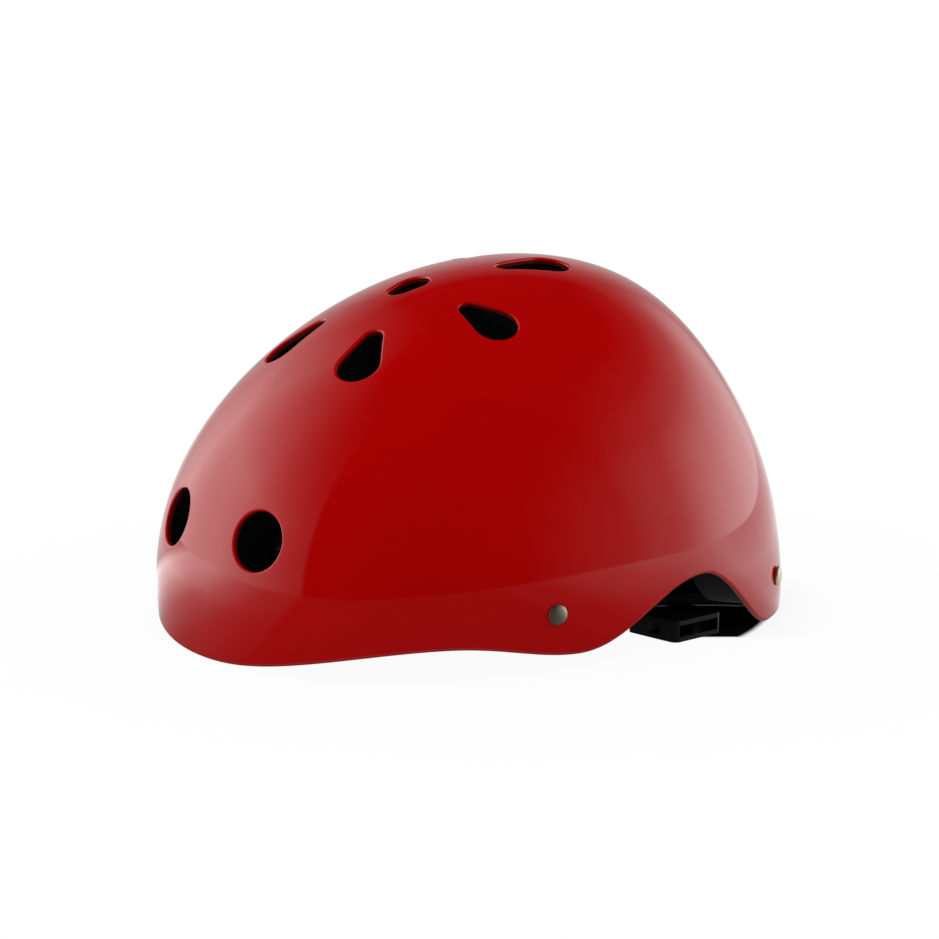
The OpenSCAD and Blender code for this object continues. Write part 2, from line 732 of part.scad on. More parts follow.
// Sprung latch prong, with a barb near its end that clicks into the socket's window
module prong(s) {
    barb = 1.6;
    barb_from = 7;
    barb_to = 13.5;
    out = prong_root + barb;
    chamfer = 1.5;
    end = plug_reach - 0.5;
    color([0.06, 0.06, 0.06]) on_side(-1) in_chin() mirror([s > 0 ? 0 : 1, 0, 0])
        translate([prong_x, plug_y + plug_base_len, buckle_z - prong_t / 2])
            linear_extrude(prong_t) {
                circle(r = prong_root, $fn = 28);
                polygon([[-prong_root, 0], [prong_root, 0], [prong_root, barb_from],
                    [out, barb_from + 1], [out, barb_to], [prong_root, end - chamfer],
                    [prong_root - 1, end], [-prong_root + 1, end], [-prong_root, end - chamfer]]);
            }
}

outer_shell();
eps_liner();
brow_pad();
crown_pad();
side_pad_left();
side_pad_right();
nape_pad();
hook_dots();
front_anchor(1) rivet();  // front_rivet_left
front_anchor(-1) rivet();  // front_rivet_right
rear_anchor(1) rivet();  // rear_rivet_left
rear_anchor(-1) rivet();  // rear_rivet_right
front_anchor(1) washer();  // front_washer_left
front_anchor(-1) washer();  // front_washer_right
rear_anchor(1) washer();  // rear_washer_left
rear_anchor(-1) washer();  // rear_washer_right
tab(anchor_front_a, anchor_front_h, fold_front);  // front_tab_left
on_side(-1) tab(anchor_front_a, anchor_front_h, fold_front);  // front_tab_right
tab(anchor_rear_a, anchor_rear_h, fold_rear);  // rear_tab_left
on_side(-1) tab(anchor_rear_a, anchor_rear_h, fold_rear);  // rear_tab_right
leg(true);  // front_leg_left
on_side(-1) leg(true);  // front_leg_right
leg(false);  // rear_leg_left
on_side(-1) leg(false);  // rear_leg_right
divider();  // divider_left
on_side(-1) divider();  // divider_right
chin_strap(socket_y + bar_r);  // chin_strap_left
on_side(-1) chin_strap(plug_y + bar_r);  // chin_strap_right
tail_keeper();
buckle_socket();
buckle_plug();
prong(1);  // latch_prong_front
prong(-1);  // latch_prong_rear
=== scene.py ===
# Skate helmet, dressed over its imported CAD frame. Sizes are in millimetres, and mm turns them to metres.
import math

import bmesh
import bpy
import numpy as np
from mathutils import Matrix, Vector
from mathutils.geometry import delaunay_2d_cdt


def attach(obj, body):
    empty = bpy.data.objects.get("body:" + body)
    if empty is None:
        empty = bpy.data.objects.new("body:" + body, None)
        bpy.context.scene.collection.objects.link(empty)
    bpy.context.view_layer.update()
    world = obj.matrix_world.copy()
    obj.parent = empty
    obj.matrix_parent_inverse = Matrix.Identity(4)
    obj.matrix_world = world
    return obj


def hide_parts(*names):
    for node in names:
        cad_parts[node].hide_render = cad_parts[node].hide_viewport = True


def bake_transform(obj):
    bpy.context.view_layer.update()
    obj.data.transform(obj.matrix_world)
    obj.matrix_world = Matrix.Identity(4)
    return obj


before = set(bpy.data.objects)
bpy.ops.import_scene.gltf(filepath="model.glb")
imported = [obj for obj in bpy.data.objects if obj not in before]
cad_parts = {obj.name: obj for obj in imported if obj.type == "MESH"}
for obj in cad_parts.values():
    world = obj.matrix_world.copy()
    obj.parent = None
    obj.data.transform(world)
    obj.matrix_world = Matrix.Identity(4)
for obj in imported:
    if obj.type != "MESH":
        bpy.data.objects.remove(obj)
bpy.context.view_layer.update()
mm = 0.001


def toLinear(hexColour):
    values = [int(hexColour[i:i + 2], 16) / 255 for i in (1, 3, 5)]
    return [v / 12.92 if v <= 0.04045 else ((v + 0.055) / 1.055) ** 2.4 for v in values] + [1.0]


def setInputs(tree, node, inputs):
    for name, value in inputs.items():
        if isinstance(value, bpy.types.NodeSocket):
            tree.links.new(value, node.inputs[name])
        else:
            node.inputs[name].default_value = value


def addNode(tree, kind, settings, inputs):
    node = tree.nodes.new("ShaderNode" + kind)
    for name, value in settings.items():
        setattr(node, name, value)
    setInputs(tree, node, inputs)
    return node


def newMaterial(name):
    material = bpy.data.materials.new(name)
    material.use_nodes = True
    tree = material.node_tree
    shader = tree.nodes["Principled BSDF"]
    return material, tree, shader


# Two tones mixed by one pattern, relief from another, and values on the shader's own sockets
def dressShader(tree, shader, share, tones, height, strength, depth, values, invert=False):
    first, second = (toLinear(tone) for tone in tones)
    colour = addNode(tree, "Mix", {"data_type": "RGBA"}, {"Factor": share, 6: first, 7: second})
    bump = addNode(tree, "Bump", {"invert": invert}, {"Height": height, "Strength": strength, "Distance": depth * mm})
    setInputs(tree, shader, {"Base Color": colour.outputs[2], "Normal": bump.outputs["Normal"], **values})


def unit(v):
    v = np.asarray(v, float)
    return v / np.maximum(np.linalg.norm(v, axis=-1, keepdims=True), 1e-12)


def makeObject(name, points, faces, material, smooth=True):
    mesh = bpy.data.meshes.new(name)
    mesh.from_pydata((np.asarray(points) * mm).tolist(), [], [list(map(int, f)) for f in faces])
    mesh.materials.append(material)
    mesh.polygons.foreach_set("use_smooth", [smooth] * len(mesh.polygons))
    mesh.update()
    obj = bpy.data.objects.new(name, mesh)
    bpy.context.scene.collection.objects.link(obj)
    return obj


def cleanMesh(obj, sharpFrom=None):  # joins doubles, turns faces outward, and marks edges sharper than an angle
    work = bmesh.new()
    work.from_mesh(obj.data)
    bmesh.ops.remove_doubles(work, verts=work.verts, dist=0.002 * mm)
    bmesh.ops.recalc_face_normals(work, faces=work.faces)
    if sharpFrom:
        work.normal_update()
        for edge in work.edges:
            edge.smooth = len(edge.link_faces) != 2 or edge.calc_face_angle(0) < math.radians(sharpFrom)
    work.to_mesh(obj.data)
    work.free()


# The dome that shell, liner and pads share
dome = {
    "frontReach": 160.5, "backReach": 114.5, "width": 222.5, "height": 154.0, "widest": 21.3,
    "planPower": 2.38, "crownX": 153.5, "crownY": 117.5, "crownPower": 2.86,
    "fullFront": -4.0, "fullBack": -23.5, "fullSide": -10.0, "tuck": 0.008, "fullCorner": 1.8, "cornerFade": 40.0,
    "rimAngles": [0, 42, 66.5, 99.5, 124.5, 180], "rimHeights": [0, 12.5, 5.7, 30, 0, 2.5],
}
axisX = (dome["backReach"] - dome["frontReach"]) / 2


def cosSin(a):
    return np.cos(np.radians(a)), np.sin(np.radians(a))


def planRadius(a, inset):
    c, s = cosSin(a)
    reach = np.where(c > 0, dome["frontReach"] - inset[0], dome["backReach"] - inset[1])
    p = dome["planPower"]
    return ((abs(c) / reach) ** p + (abs(s) / (dome["width"] / 2 - inset[2])) ** p) ** (-1 / p)


def domeRadius(a, z, inset):
    c, s = cosSin(a)
    rise = np.clip((z - dome["widest"]) / (dome["height"] - inset[3] - dome["widest"]), 0, 1)
    level = np.sqrt(1 - rise * rise)
    crown = ((c / (dome["crownX"] - inset[0])) ** 2 + (s / (dome["crownY"] - inset[2])) ** 2) ** -0.5
    full = (dome["fullFront"] * np.maximum(c, 0) ** 2 + dome["fullBack"] * np.maximum(-c, 0) ** 2
            + dome["fullSide"] * s * s)
    plan = planRadius(a, inset)
    w = rise ** dome["crownPower"]
    upper = level * (plan * (1 - w) + crown * w) + full * (rise * level) ** 2
    lower = plan * (1 - dome["tuck"] * ((dome["widest"] - z) / dome["widest"]) ** 2)
    fade = np.clip(z / dome["cornerFade"], 0, 1)
    corner = np.where(c < 0, dome["fullCorner"] * (2 * s * c) ** 2 * (1 - fade * fade * (3 - 2 * fade)), 0)
    return np.where(z < dome["widest"], lower, upper) + corner


def domePoint(a, z, inset):
    c, s = cosSin(a)
    r = domeRadius(a, z, inset)
    return np.stack([axisX + r * c, r * s, z + 0 * r], -1)


def rimHeight(a):
    b = np.mod(a, 360)
    b = np.where(b > 180, 360 - b, b)
    angles, heights = np.array(dome["rimAngles"], float), np.array(dome["rimHeights"], float)
    i = np.clip(np.searchsorted(angles, b, side="right") - 1, 0, 4)
    t = (b - angles[i]) / (angles[i + 1] - angles[i])
    return heights[i] + (heights[i + 1] - heights[i]) * (1 - np.cos(np.pi * t)) / 2


# Surface by angle a and share s of the way from the crown (0) to the rim (1)
def skinPoint(a, s, inset, low):
    a = np.where(s < 0, a + 180, a)
    z0 = rimHeight(a) + low
    return domePoint(a, z0 + (dome["height"] - inset[3] - z0) * np.cos(np.abs(s) * math.pi / 2), inset)


def skinNormal(a, s, inset, low):
    c, sn = cosSin(a)
    around = skinPoint(a + 0.25, s, inset, low) - skinPoint(a - 0.25, s, inset, low)
    around = np.where((s < 0.004)[:, None], np.stack([-sn, c, 0 * c], -1), around)
    down = skinPoint(a, s + 0.002, inset, low) - skinPoint(a, s - 0.002, inset, low)
    return unit(np.cross(down, around))


def skinCoordinates(p, inset, low):
    a = np.degrees(np.arctan2(p[:, 1], p[:, 0] - axisX))
    z0 = rimHeight(a) + low
    return a, np.arccos(np.clip((p[:, 2] - z0) / (dome["height"] - inset[3] - z0), -1, 1)) * 2 / math.pi


# Vents, each placed by its point over the plan or by its height
vents = {
    "frontPair": {"x": 72, "y": 25, "length": 30.5, "turn": 27, "facing": 180},
    "sidePair": {"x": 23.5, "y": 46, "length": 28, "turn": -80, "facing": 0},
    "rearPair": {"x": -22.5, "y": 18, "length": 34, "turn": -10, "facing": 0},
    "dropWidth": 19, "tipWidth": 9,
    "oval": {"x": 30.5, "length": 19.5, "width": 15, "tip": 12},
    "brow": {"across": 25, "y": 30.5, "height": 53.5},
    "nape": {"across": 24, "y": 32, "height": 66},
    "pointsAround": 96,
}
noInset = (0, 0, 0, 0)


def normalAt(a, z, inset=noInset):
    return unit(np.cross(domePoint(a + 0.5, z, inset) - domePoint(a - 0.5, z, inset),
                         domePoint(a, z + 0.3, inset) - domePoint(a, z - 0.3, inset)))


def placeOnDome(a, z, heading):
    n = normalAt(a, z)
    c, s = cosSin(heading)
    v = unit(np.cross(n, [c, s, 0]))
    return domePoint(a, z, noInset), np.cross(v, n), v, n


def placeOverPlan(x, y, heading):
    a, r = math.degrees(math.atan2(y, x - axisX)), math.hypot(x - axisX, y)
    low, high = dome["widest"], dome["height"]
    for _ in range(40):  # halves the gap until it is far below a micrometre
        mid = (low + high) / 2
        low, high = (mid, high) if domeRadius(a, mid, noInset) > r else (low, mid)
    return placeOnDome(a, mid, heading)


# Outline of a drop, which is two circles and their tangents, or of one circle: points and outward normals
def dropOutline(length, width, tip, count):
    big, small, gap = width / 2, tip / 2, length - width / 2 - tip / 2
    start = (width - length) / 2
    turn, side, bigArc, smallArc = math.pi / 2, 0, 2 * math.pi * big, 0
    if gap > 0:
        turn = math.acos((big - small) / gap)
        side = math.sqrt(gap * gap - (big - small) ** 2)
        bigArc, smallArc = big * (2 * math.pi - 2 * turn), small * 2 * turn
    total = bigArc + smallArc + 2 * side
    points, normals = [], []
    for k in range(count):
        d = total * k / count
        centre, r, slide = start, big, 0
        if d < bigArc:
            t = turn + d / big
        elif d < bigArc + side:
            t, slide = -turn, d - bigArc
        elif d < bigArc + side + smallArc:
            t, centre, r = -turn + (d - bigArc - side) / small, start + gap, small
        else:
            t, centre, r, slide = turn, start + gap, small, -(d - bigArc - side - smallArc)
        n = np.array([math.cos(t), math.sin(t)])
        along = np.array([-n[1], n[0]]) if t < 0 else np.array([n[1], -n[0]])
        points.append(np.array([centre, 0]) + r * n + slide * along)
        normals.append(n)
    return np.array(points), np.array(normals)


def listVents():
    found = []
    count = vents["pointsAround"]
    for side in (1, -1):
        for key in ("frontPair", "sidePair", "rearPair"):
            v = vents[key]
            heading = v["facing"] + side * v["turn"]
            outline = dropOutline(v["length"], vents["dropWidth"], vents["tipWidth"], count)
            found.append((placeOverPlan(v["x"], side * v["y"], heading), outline))
        for key, ahead in (("brow", 0.0), ("nape", 180.0)):
            v = vents[key]
            r = domeRadius(ahead, v["height"], noInset)
            a = math.degrees(math.asin(v["y"] / r))
            circle = dropOutline(v["across"], v["across"], v["across"], count)
            found.append((placeOnDome(side * (a if ahead == 0 else 180 - a), v["height"], 90), circle))
    o = vents["oval"]
    found.append((placeOverPlan(o["x"], 0, 0), dropOutline(o["length"], o["width"], o["tip"], count)))
    return found


# Where the vent's outline, grown by some millimetres, meets a surface of the dome
def ventRing(vent, grow, inset):
    (p, u, v, n), (points, normals) = vent
    flat = points + normals * grow
    base = p + flat[:, :1] * u + flat[:, 1:] * v
    low, high = np.full(len(flat), -60.0), np.full(len(flat), 20.0)
    for _ in range(44):  # halves the gap, as above
        mid = (low + high) / 2
        q = base + mid[:, None] * n
        a = np.degrees(np.arctan2(q[:, 1], q[:, 0] - axisX))
        inside = domeRadius(a, q[:, 2], inset) > np.hypot(q[:, 0] - axisX, q[:, 1])
        low, high = np.where(inside, mid, low), np.where(inside, high, mid)
    return base + mid[:, None] * n


def insidePolygon(points, polygon):
    x, y = points[:, 0][:, None], points[:, 1][:, None]
    x0, y0 = polygon[:, 0][None], polygon[:, 1][None]
    x1, y1 = np.roll(polygon[:, 0], -1)[None], np.roll(polygon[:, 1], -1)[None]
    crosses = ((y0 > y) != (y1 > y)) & (x < (x1 - x0) * (y - y0) / np.where(y1 == y0, 1e-12, y1 - y0) + x0)
    return crosses.sum(1) % 2 == 1


# Net of triangles on the dome. The rooms and the clearance are in spacings of the net, the rest in millimetres.
net = {"crownToRim": 205, "radius": 112, "widening": 1.25, "ringRoom": 0.9, "clearance": 0.62, "rimRoom": 0.35,
       "ventReach": 40}


# One surface of the dome, open at the vents and along the rim
def domeSkin(inset, low, grow, spacing, around):
    angles, shares = [np.zeros(1)], [np.zeros(1)]
    rows = int(net["crownToRim"] / spacing)
    for j in range(1, rows):
        s = j / rows
        turn = 2 * math.pi * net["radius"] * math.sin(min(s * net["widening"], 1.0) * math.pi / 2)
        n = max(6, int(turn / spacing))
        angles.append((np.arange(n) + 0.5 * (j % 2)) * 360 / n)
        shares.append(np.full(n, s))
    a, s = np.concatenate(angles), np.concatenate(shares)
    points = skinPoint(a, s, inset, low)
    keep = s < 1 - net["rimRoom"] / rows
    rings, wideRings = [], []
    for vent in ventList:
        rings.append(ventRing(vent, grow, inset))
        wide = ventRing(vent, grow + net["ringRoom"] * spacing, inset)[::2]
        wideRings.append(wide)
        index = np.where(np.linalg.norm(points - wide.mean(0), axis=1) < net["ventReach"])[0]
        nearest = np.linalg.norm(points[index][:, None] - wide[None], axis=2)
        k = nearest.argmin(1)
        within = np.einsum("ij,ij->i", points[index] - wide[k], wide[k] - wide.mean(0)) < 0
        keep[index[(nearest.min(1) < net["clearance"] * spacing) | within]] = False
    a, s = list(a[keep]), list(s[keep])
    for wide in wideRings:
        aa, ss = skinCoordinates(wide, inset, low)
        a.extend(aa)
        s.extend(ss)
    edges, ringIndex = [], []
    for ring in rings:
        aa, ss = skinCoordinates(ring, inset, low)
        first = len(a)
        ringIndex.append(np.arange(first, first + len(ring)))
        edges.extend((first + k, first + (k + 1) % len(ring)) for k in range(len(ring)))
        a.extend(aa)
        s.extend(ss)
    first = len(a)
    edges.extend((first + k, first + (k + 1) % around) for k in range(around))
    a.extend(np.arange(around) * 360 / around)
    s.extend(np.ones(around))
    a, s = np.array(a), np.array(s)
    flat = np.stack([s * np.cos(np.radians(a)), s * np.sin(np.radians(a))], -1) * 100
    result = delaunay_2d_cdt([tuple(q) for q in flat.tolist()], edges, [], 0, 1e-6)
    source = [orig[0] if orig else -1 for orig in result[3]]
    faces = np.array([[source[i] for i in f] for f in result[2]])
    faces = faces[(faces >= 0).all(1)]
    turned = np.cross(flat[faces[:, 1]] - flat[faces[:, 0]], flat[faces[:, 2]] - flat[faces[:, 0]])
    faces[turned < 0] = faces[turned < 0][:, ::-1]
    faces = faces[abs(turned) > 1e-9]
    owner = np.full(len(a), -1)
    for k, index in enumerate(ringIndex):
        owner[index] = k
    together = (owner[faces] == owner[faces[:, :1]]).all(1) & (owner[faces[:, 0]] >= 0)
    drop = np.zeros(len(faces), bool)
    for k, index in enumerate(ringIndex):
        mine = np.where(together & (owner[faces[:, 0]] == k))[0]
        if len(mine):
            drop[mine] = insidePolygon(flat[faces[mine]].mean(1), flat[index])
    faces = faces[~drop]
    return skinPoint(a, s, inset, low), skinNormal(a, s, inset, low), faces


# A bowl between two surfaces, with rolled vent edges and a rounded rim. Every corner carries its exact normal.
def bowl(name, outer, inner, spec, material, wallMaterial, rimMaterial):
    outer, inner = np.array(outer, float), np.array(inner, float)
    lip, lift, roll, grow = spec["lip"], spec["lift"], spec["roll"], spec["grow"]
    parts = {"points": [], "normals": [], "faces": [], "slots": [], "count": 0}

    def addPatch(points, normals, faces, slot=0):
        f = np.array(faces)
        facing = np.cross(points[f[:, 2]] - points[f[:, 0]], points[f[:, -1]] - points[f[:, 1]])
        if f.shape[1] == 3:
            facing = np.cross(points[f[:, 1]] - points[f[:, 0]], points[f[:, 2]] - points[f[:, 0]])
        wrong = (facing * normals[f].sum(1)).sum(1) < 0
        f[wrong] = f[wrong][:, ::-1]
        parts["faces"].extend((f + parts["count"]).tolist())
        parts["points"].append(points)
        parts["normals"].append(normals)
        parts["slots"].extend([slot] * len(f))
        parts["count"] += len(points)

    def addRings(rings, normals, slot=0):  # each ring after the first is joined to the one before it
        n = len(rings[0])
        faces = [[p + k, p + (k + 1) % n, p + n + (k + 1) % n, p + n + k]
                 for p in range(0, (len(rings) - 1) * n, n) for k in range(n)]
        addPatch(np.concatenate(rings), np.concatenate(normals), faces, slot)

    around = spec["around"]
    points, normals, faces = domeSkin(outer, lift + lip, grow + roll, spec["spacing"], around)
    addPatch(points, normals, faces)
    points, normals, faces = domeSkin(inner, lift + lip, grow, spec["innerSpacing"], around)
    addPatch(points, -normals, faces[:, ::-1])

    for vent in ventList:
        (_, u, v, n), (_, outward) = vent
        hole = -(outward[:, :1] * u + outward[:, 1:] * v)
        rings, ringNormals = [], []
        for t in np.radians(np.linspace(0, 90, spec["rollSteps"] + 1)):
            ring = ventRing(vent, grow + roll * (1 - math.sin(t)), outer)
            a, s = skinCoordinates(ring, outer, lift + lip)
            up = skinNormal(a, s, outer, lift + lip)
            rings.append(ring - up * roll * (1 - math.cos(t)))
            ringNormals.append(unit(up * math.cos(t) + hole * math.sin(t)))
        last = ventRing(vent, grow, inner)
        for share in np.linspace(0, 1, spec["wallSteps"] + 1)[1:]:
            rings.append(rings[spec["rollSteps"]] * (1 - share) + last * share)
            ringNormals.append(hole)
        deep = spec["rollSteps"]
        addRings(rings[:deep + 1], ringNormals[:deep + 1])
        addRings(rings[deep:], ringNormals[deep:], 1)

    a = np.arange(around) * 360 / around
    z0 = rimHeight(a) + lift
    outerUp, innerUp = (skinNormal(a, np.ones(around), i, lift + lip) for i in (outer, inner))
    ordered = {0: [], 1: []}
    for t in np.radians(np.linspace(0, 90, spec["rimSteps"] + 1)):
        for side in (0, 1):
            share = lip * (1 - math.cos(t)) / spec["wall"]
            share = 1 - share if side else share
            ring = domePoint(a, z0 + lip * (1 - math.sin(t)), outer + (inner - outer) * share)
            up = -innerUp if side else outerUp
            ordered[side].append((ring, unit(up * math.cos(t) + np.array([0, 0, -1.0]) * math.sin(t))))
    across = ordered[1] + ordered[0][::-1]
    addRings([ring for ring, _ in across], [normal for _, normal in across], 2)

    obj = makeObject(name, np.concatenate(parts["points"]), parts["faces"], material)
    obj.data.materials.append(wallMaterial)
    obj.data.materials.append(rimMaterial)
    obj.data.polygons.foreach_set("material_index", parts["slots"])
    corners = np.concatenate(parts["normals"])
    index = np.zeros(len(obj.data.loops), int)
    obj.data.loops.foreach_get("vertex_index", index)
    obj.data.normals_split_custom_set(unit(corners[index]).tolist())
    return obj


ventList = listVents()


# ABS, injection moulded and lacquered: deep even colour under a hard mirror gloss
def glossyAbs(name, red, deepRed, roughness):
    look = {"cloudAcross": 40, "peelAcross": 6.0, "relief": 1.0, "peelDepth": 0.004, "ior": 1.5}
    material, tree, shader = newMaterial(name)
    where = addNode(tree, "TexCoord", {}, {}).outputs["Object"]
    pigment = addNode(tree, "TexNoise", {}, {"Vector": where, "Scale": 1 / (look["cloudAcross"] * mm), "Detail": 1.0})
    peel = addNode(tree, "TexNoise", {}, {"Vector": where, "Scale": 1 / (look["peelAcross"] * mm), "Detail": 0.0})
    dressShader(tree, shader, pigment.outputs["Fac"], (red, deepRed), peel.outputs["Fac"], look["relief"],
                look["peelDepth"], {"Roughness": roughness, "IOR": look["ior"]})
    return material


# Expanded polystyrene, steam moulded from beads: dull, with a net of closed cells
def mouldedBeadFoam():
    look = {"bead": "#0E0E10", "seam": "#070707", "beadAcross": 3.2, "seamShare": 0.14, "relief": 0.8,
            "seamDepth": 0.25, "shader": {"Roughness": 0.82, "IOR": 1.46, "Specular IOR Level": 0.15}}
    material, tree, shader = newMaterial("steamMouldedBeadFoam")
    where = addNode(tree, "TexCoord", {}, {}).outputs["Object"]
    cells = addNode(tree, "TexVoronoi", {"feature": "DISTANCE_TO_EDGE"},
                    {"Vector": where, "Scale": 1 / (look["beadAcross"] * mm)})
    seam = addNode(tree, "MapRange", {}, {"Value": cells.outputs["Distance"], "From Max": look["seamShare"]})
    seam = seam.outputs["Result"]
    dressShader(tree, shader, seam, (look["seam"], look["bead"]), seam, look["relief"], look["seamDepth"],
                look["shader"])
    return material


# Polyester knit, brushed on its face: soft black with a faint nap and small even loops
def brushedKnit():
    look = {"yarn": "#0D0D0F", "hollow": "#060607", "loopAcross": 0.9, "loopDepth": 0.18, "relief": 0.7,
            "napAcross": 7, "napShare": 0.6, "evenness": 0.45,
            "shader": {"Roughness": 0.92, "Sheen Weight": 0.03, "Specular IOR Level": 0.15}}
    material, tree, shader = newMaterial("brushedPolyesterKnit")
    where = addNode(tree, "TexCoord", {}, {}).outputs["Object"]
    loops = addNode(tree, "TexVoronoi", {}, {"Vector": where, "Scale": 1 / (look["loopAcross"] * mm),
                                             "Randomness": look["evenness"]})
    nap = addNode(tree, "TexNoise", {}, {"Vector": where, "Scale": 1 / (look["napAcross"] * mm), "Detail": 4.0})
    both = addNode(tree, "Math", {"operation": "MULTIPLY_ADD"},
                   {0: nap.outputs["Fac"], 1: look["napShare"], 2: loops.outputs["Distance"]}).outputs[0]
    dressShader(tree, shader, both, (look["yarn"], look["hollow"]), both, look["relief"], look["loopDepth"],
                look["shader"], invert=True)
    return material


# Polypropylene webbing, shuttle woven: ribs across the strap, a bound edge and a silky glint
def wovenWebbing():
    look = {"yarn": "#151517", "gap": "#060607", "ribPitch": 1.5, "endPitch": 1.1, "slant": 0.9, "endShare": 0.45,
            "swing": 1.3, "relief": 0.7, "ribDepth": 0.16, "shader": {"Roughness": 0.5, "Sheen Weight": 0.08}}
    material, tree, shader = newMaterial("wovenPolypropyleneWebbing")
    place = addNode(tree, "UVMap", {"uv_map": "strap"}, {}).outputs["UV"]  # in centimetres along and across
    axes = addNode(tree, "SeparateXYZ", {}, {"Vector": place})
    across, along = (addNode(tree, "Math", {"operation": "MULTIPLY"},
                             {0: axes.outputs[axis], 1: 2 * math.pi * 10 / look[pitch]}).outputs[0]
                     for axis, pitch in (("X", "endPitch"), ("Y", "ribPitch")))
    ends = addNode(tree, "Math", {"operation": "SINE"}, {0: across}).outputs[0]
    shifted = addNode(tree, "Math", {"operation": "MULTIPLY_ADD"}, {0: ends, 1: look["slant"], 2: along})
    ribs = addNode(tree, "Math", {"operation": "SINE"}, {0: shifted.outputs[0]})
    weave = addNode(tree, "Math", {"operation": "MULTIPLY_ADD"},
                    {0: ends, 1: look["endShare"], 2: ribs.outputs[0]})
    level = addNode(tree, "MapRange", {}, {"Value": weave.outputs[0], "From Min": -look["swing"],
                                           "From Max": look["swing"]})
    level = level.outputs["Result"]
    dressShader(tree, shader, level, (look["gap"], look["yarn"]), level, look["relief"], look["ribDepth"],
                look["shader"])
    return material


# Steel, cold headed and nickel or zinc plated: worn brighter and duller in small clouds
def platedSteel(name, tone, dark, rough):
    look = {"cloudAcross": 1.6, "relief": 0.5, "reliefDepth": 0.02, "smoother": 0.07, "rougher": 0.09}
    material, tree, shader = newMaterial(name)
    where = addNode(tree, "TexCoord", {}, {}).outputs["Object"]
    cloud = addNode(tree, "TexNoise", {}, {"Vector": where, "Scale": 1 / (look["cloudAcross"] * mm), "Detail": 5.0})
    cloud = cloud.outputs["Fac"]
    rub = addNode(tree, "MapRange", {}, {"Value": cloud, "From Min": 0.3, "From Max": 0.7,
                                         "To Min": rough - look["smoother"], "To Max": rough + look["rougher"]})
    dressShader(tree, shader, cloud, (dark, tone), cloud, look["relief"], look["reliefDepth"],
                {"Metallic": 1.0, "Roughness": rub.outputs["Result"]})
    return material


# Acetal, injection moulded in a sparked tool: satin black with a fine even grain
def mouldedAcetal():
    look = {"black": "#0B0B0C", "worn": "#121214", "grain": 0.35, "relief": 0.6, "grainDepth": 0.012,
            "scuffAcross": 9, "smoothest": 0.3, "roughest": 0.48, "shader": {"IOR": 1.48, "Specular IOR Level": 0.25}}
    material, tree, shader = newMaterial("mouldedAcetal")
    where = addNode(tree, "TexCoord", {}, {}).outputs["Object"]
    grain = addNode(tree, "TexNoise", {}, {"Vector": where, "Scale": 1 / (look["grain"] * mm), "Detail": 2.0})
    scuff = addNode(tree, "TexNoise", {}, {"Vector": where, "Scale": 1 / (look["scuffAcross"] * mm), "Detail": 6.0})
    scuff = scuff.outputs["Fac"]
    rub = addNode(tree, "MapRange", {}, {"Value": scuff, "To Min": look["smoothest"], "To Max": look["roughest"]})
    dressShader(tree, shader, scuff, (look["black"], look["worn"]), grain.outputs["Fac"], look["relief"],
                look["grainDepth"], {**look["shader"], "Roughness": rub.outputs["Result"]})
    return material


# Rubber, compression moulded: flat black that takes dust
def mouldedRubber():
    look = {"black": "#101010", "dusty": "#1D1C1B", "dustAcross": 3, "relief": 0.3, "reliefDepth": 0.03,
            "shader": {"Roughness": 0.68, "IOR": 1.52}}
    material, tree, shader = newMaterial("mouldedRubber")
    where = addNode(tree, "TexCoord", {}, {}).outputs["Object"]
    dust = addNode(tree, "TexNoise", {}, {"Vector": where, "Scale": 1 / (look["dustAcross"] * mm), "Detail": 6.0})
    dust = dust.outputs["Fac"]
    dressShader(tree, shader, dust, (look["black"], look["dusty"]), dust, look["relief"], look["reliefDepth"],
                look["shader"])
    return material


# Nylon hook tape, woven and cut: a field of tiny stiff hooks
def hookTape():
    look = {"tip": "#2A2A2C", "ground": "#0C0C0D", "hookAcross": 1.1, "evenness": 0.2, "relief": 0.9,
            "hookDepth": 0.4, "shader": {"Roughness": 0.6}}
    material, tree, shader = newMaterial("wovenNylonHookTape")
    where = addNode(tree, "TexCoord", {}, {}).outputs["Object"]
    field = addNode(tree, "TexVoronoi", {}, {"Vector": where, "Scale": 1 / (look["hookAcross"] * mm),
                                             "Randomness": look["evenness"]}).outputs["Distance"]
    dressShader(tree, shader, field, (look["tip"], look["ground"]), field, look["relief"], look["hookDepth"],
                look["shader"], invert=True)
    return material


absRed = glossyAbs("lacqueredMouldedAbs", "#B00000", "#A70000", 0.05)
# Vent walls: matt ABS whose darker red is painted shade inside the vents
absMattPaintedShade = glossyAbs("mattMouldedAbsPaintedShade", "#5C0000", "#520000", 0.4)
absTrimmed = glossyAbs("trimmedMouldedAbs", "#B40404", "#A60000", 0.55)
beadFoam = mouldedBeadFoam()
knit = brushedKnit()
webbing = wovenWebbing()
nickel = platedSteel("nickelPlatedSteel", "#DDD5C8", "#B8AFA2", 0.56)
zinc = platedSteel("zincPlatedSteel", "#B9BABC", "#9C9DA0", 0.38)
acetal = mouldedAcetal()
rubber = mouldedRubber()
hooks = hookTape()
print("materials made")


# Shell and liner are two bowls of the same dome
shellSpec = {"wall": 2.6, "lip": 1.3, "lift": 0, "roll": 1.1, "rollSteps": 5, "wallSteps": 1, "rimSteps": 6,
             "grow": 0, "spacing": 2.6, "innerSpacing": 5.0, "around": 360}
shell = bowl("shell", noInset, [shellSpec["wall"]] * 4, shellSpec, absRed, absMattPaintedShade, absTrimmed)
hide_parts("outer_shell")
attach(shell, "helmet")
print("shell:", len(shell.data.polygons), "faces")

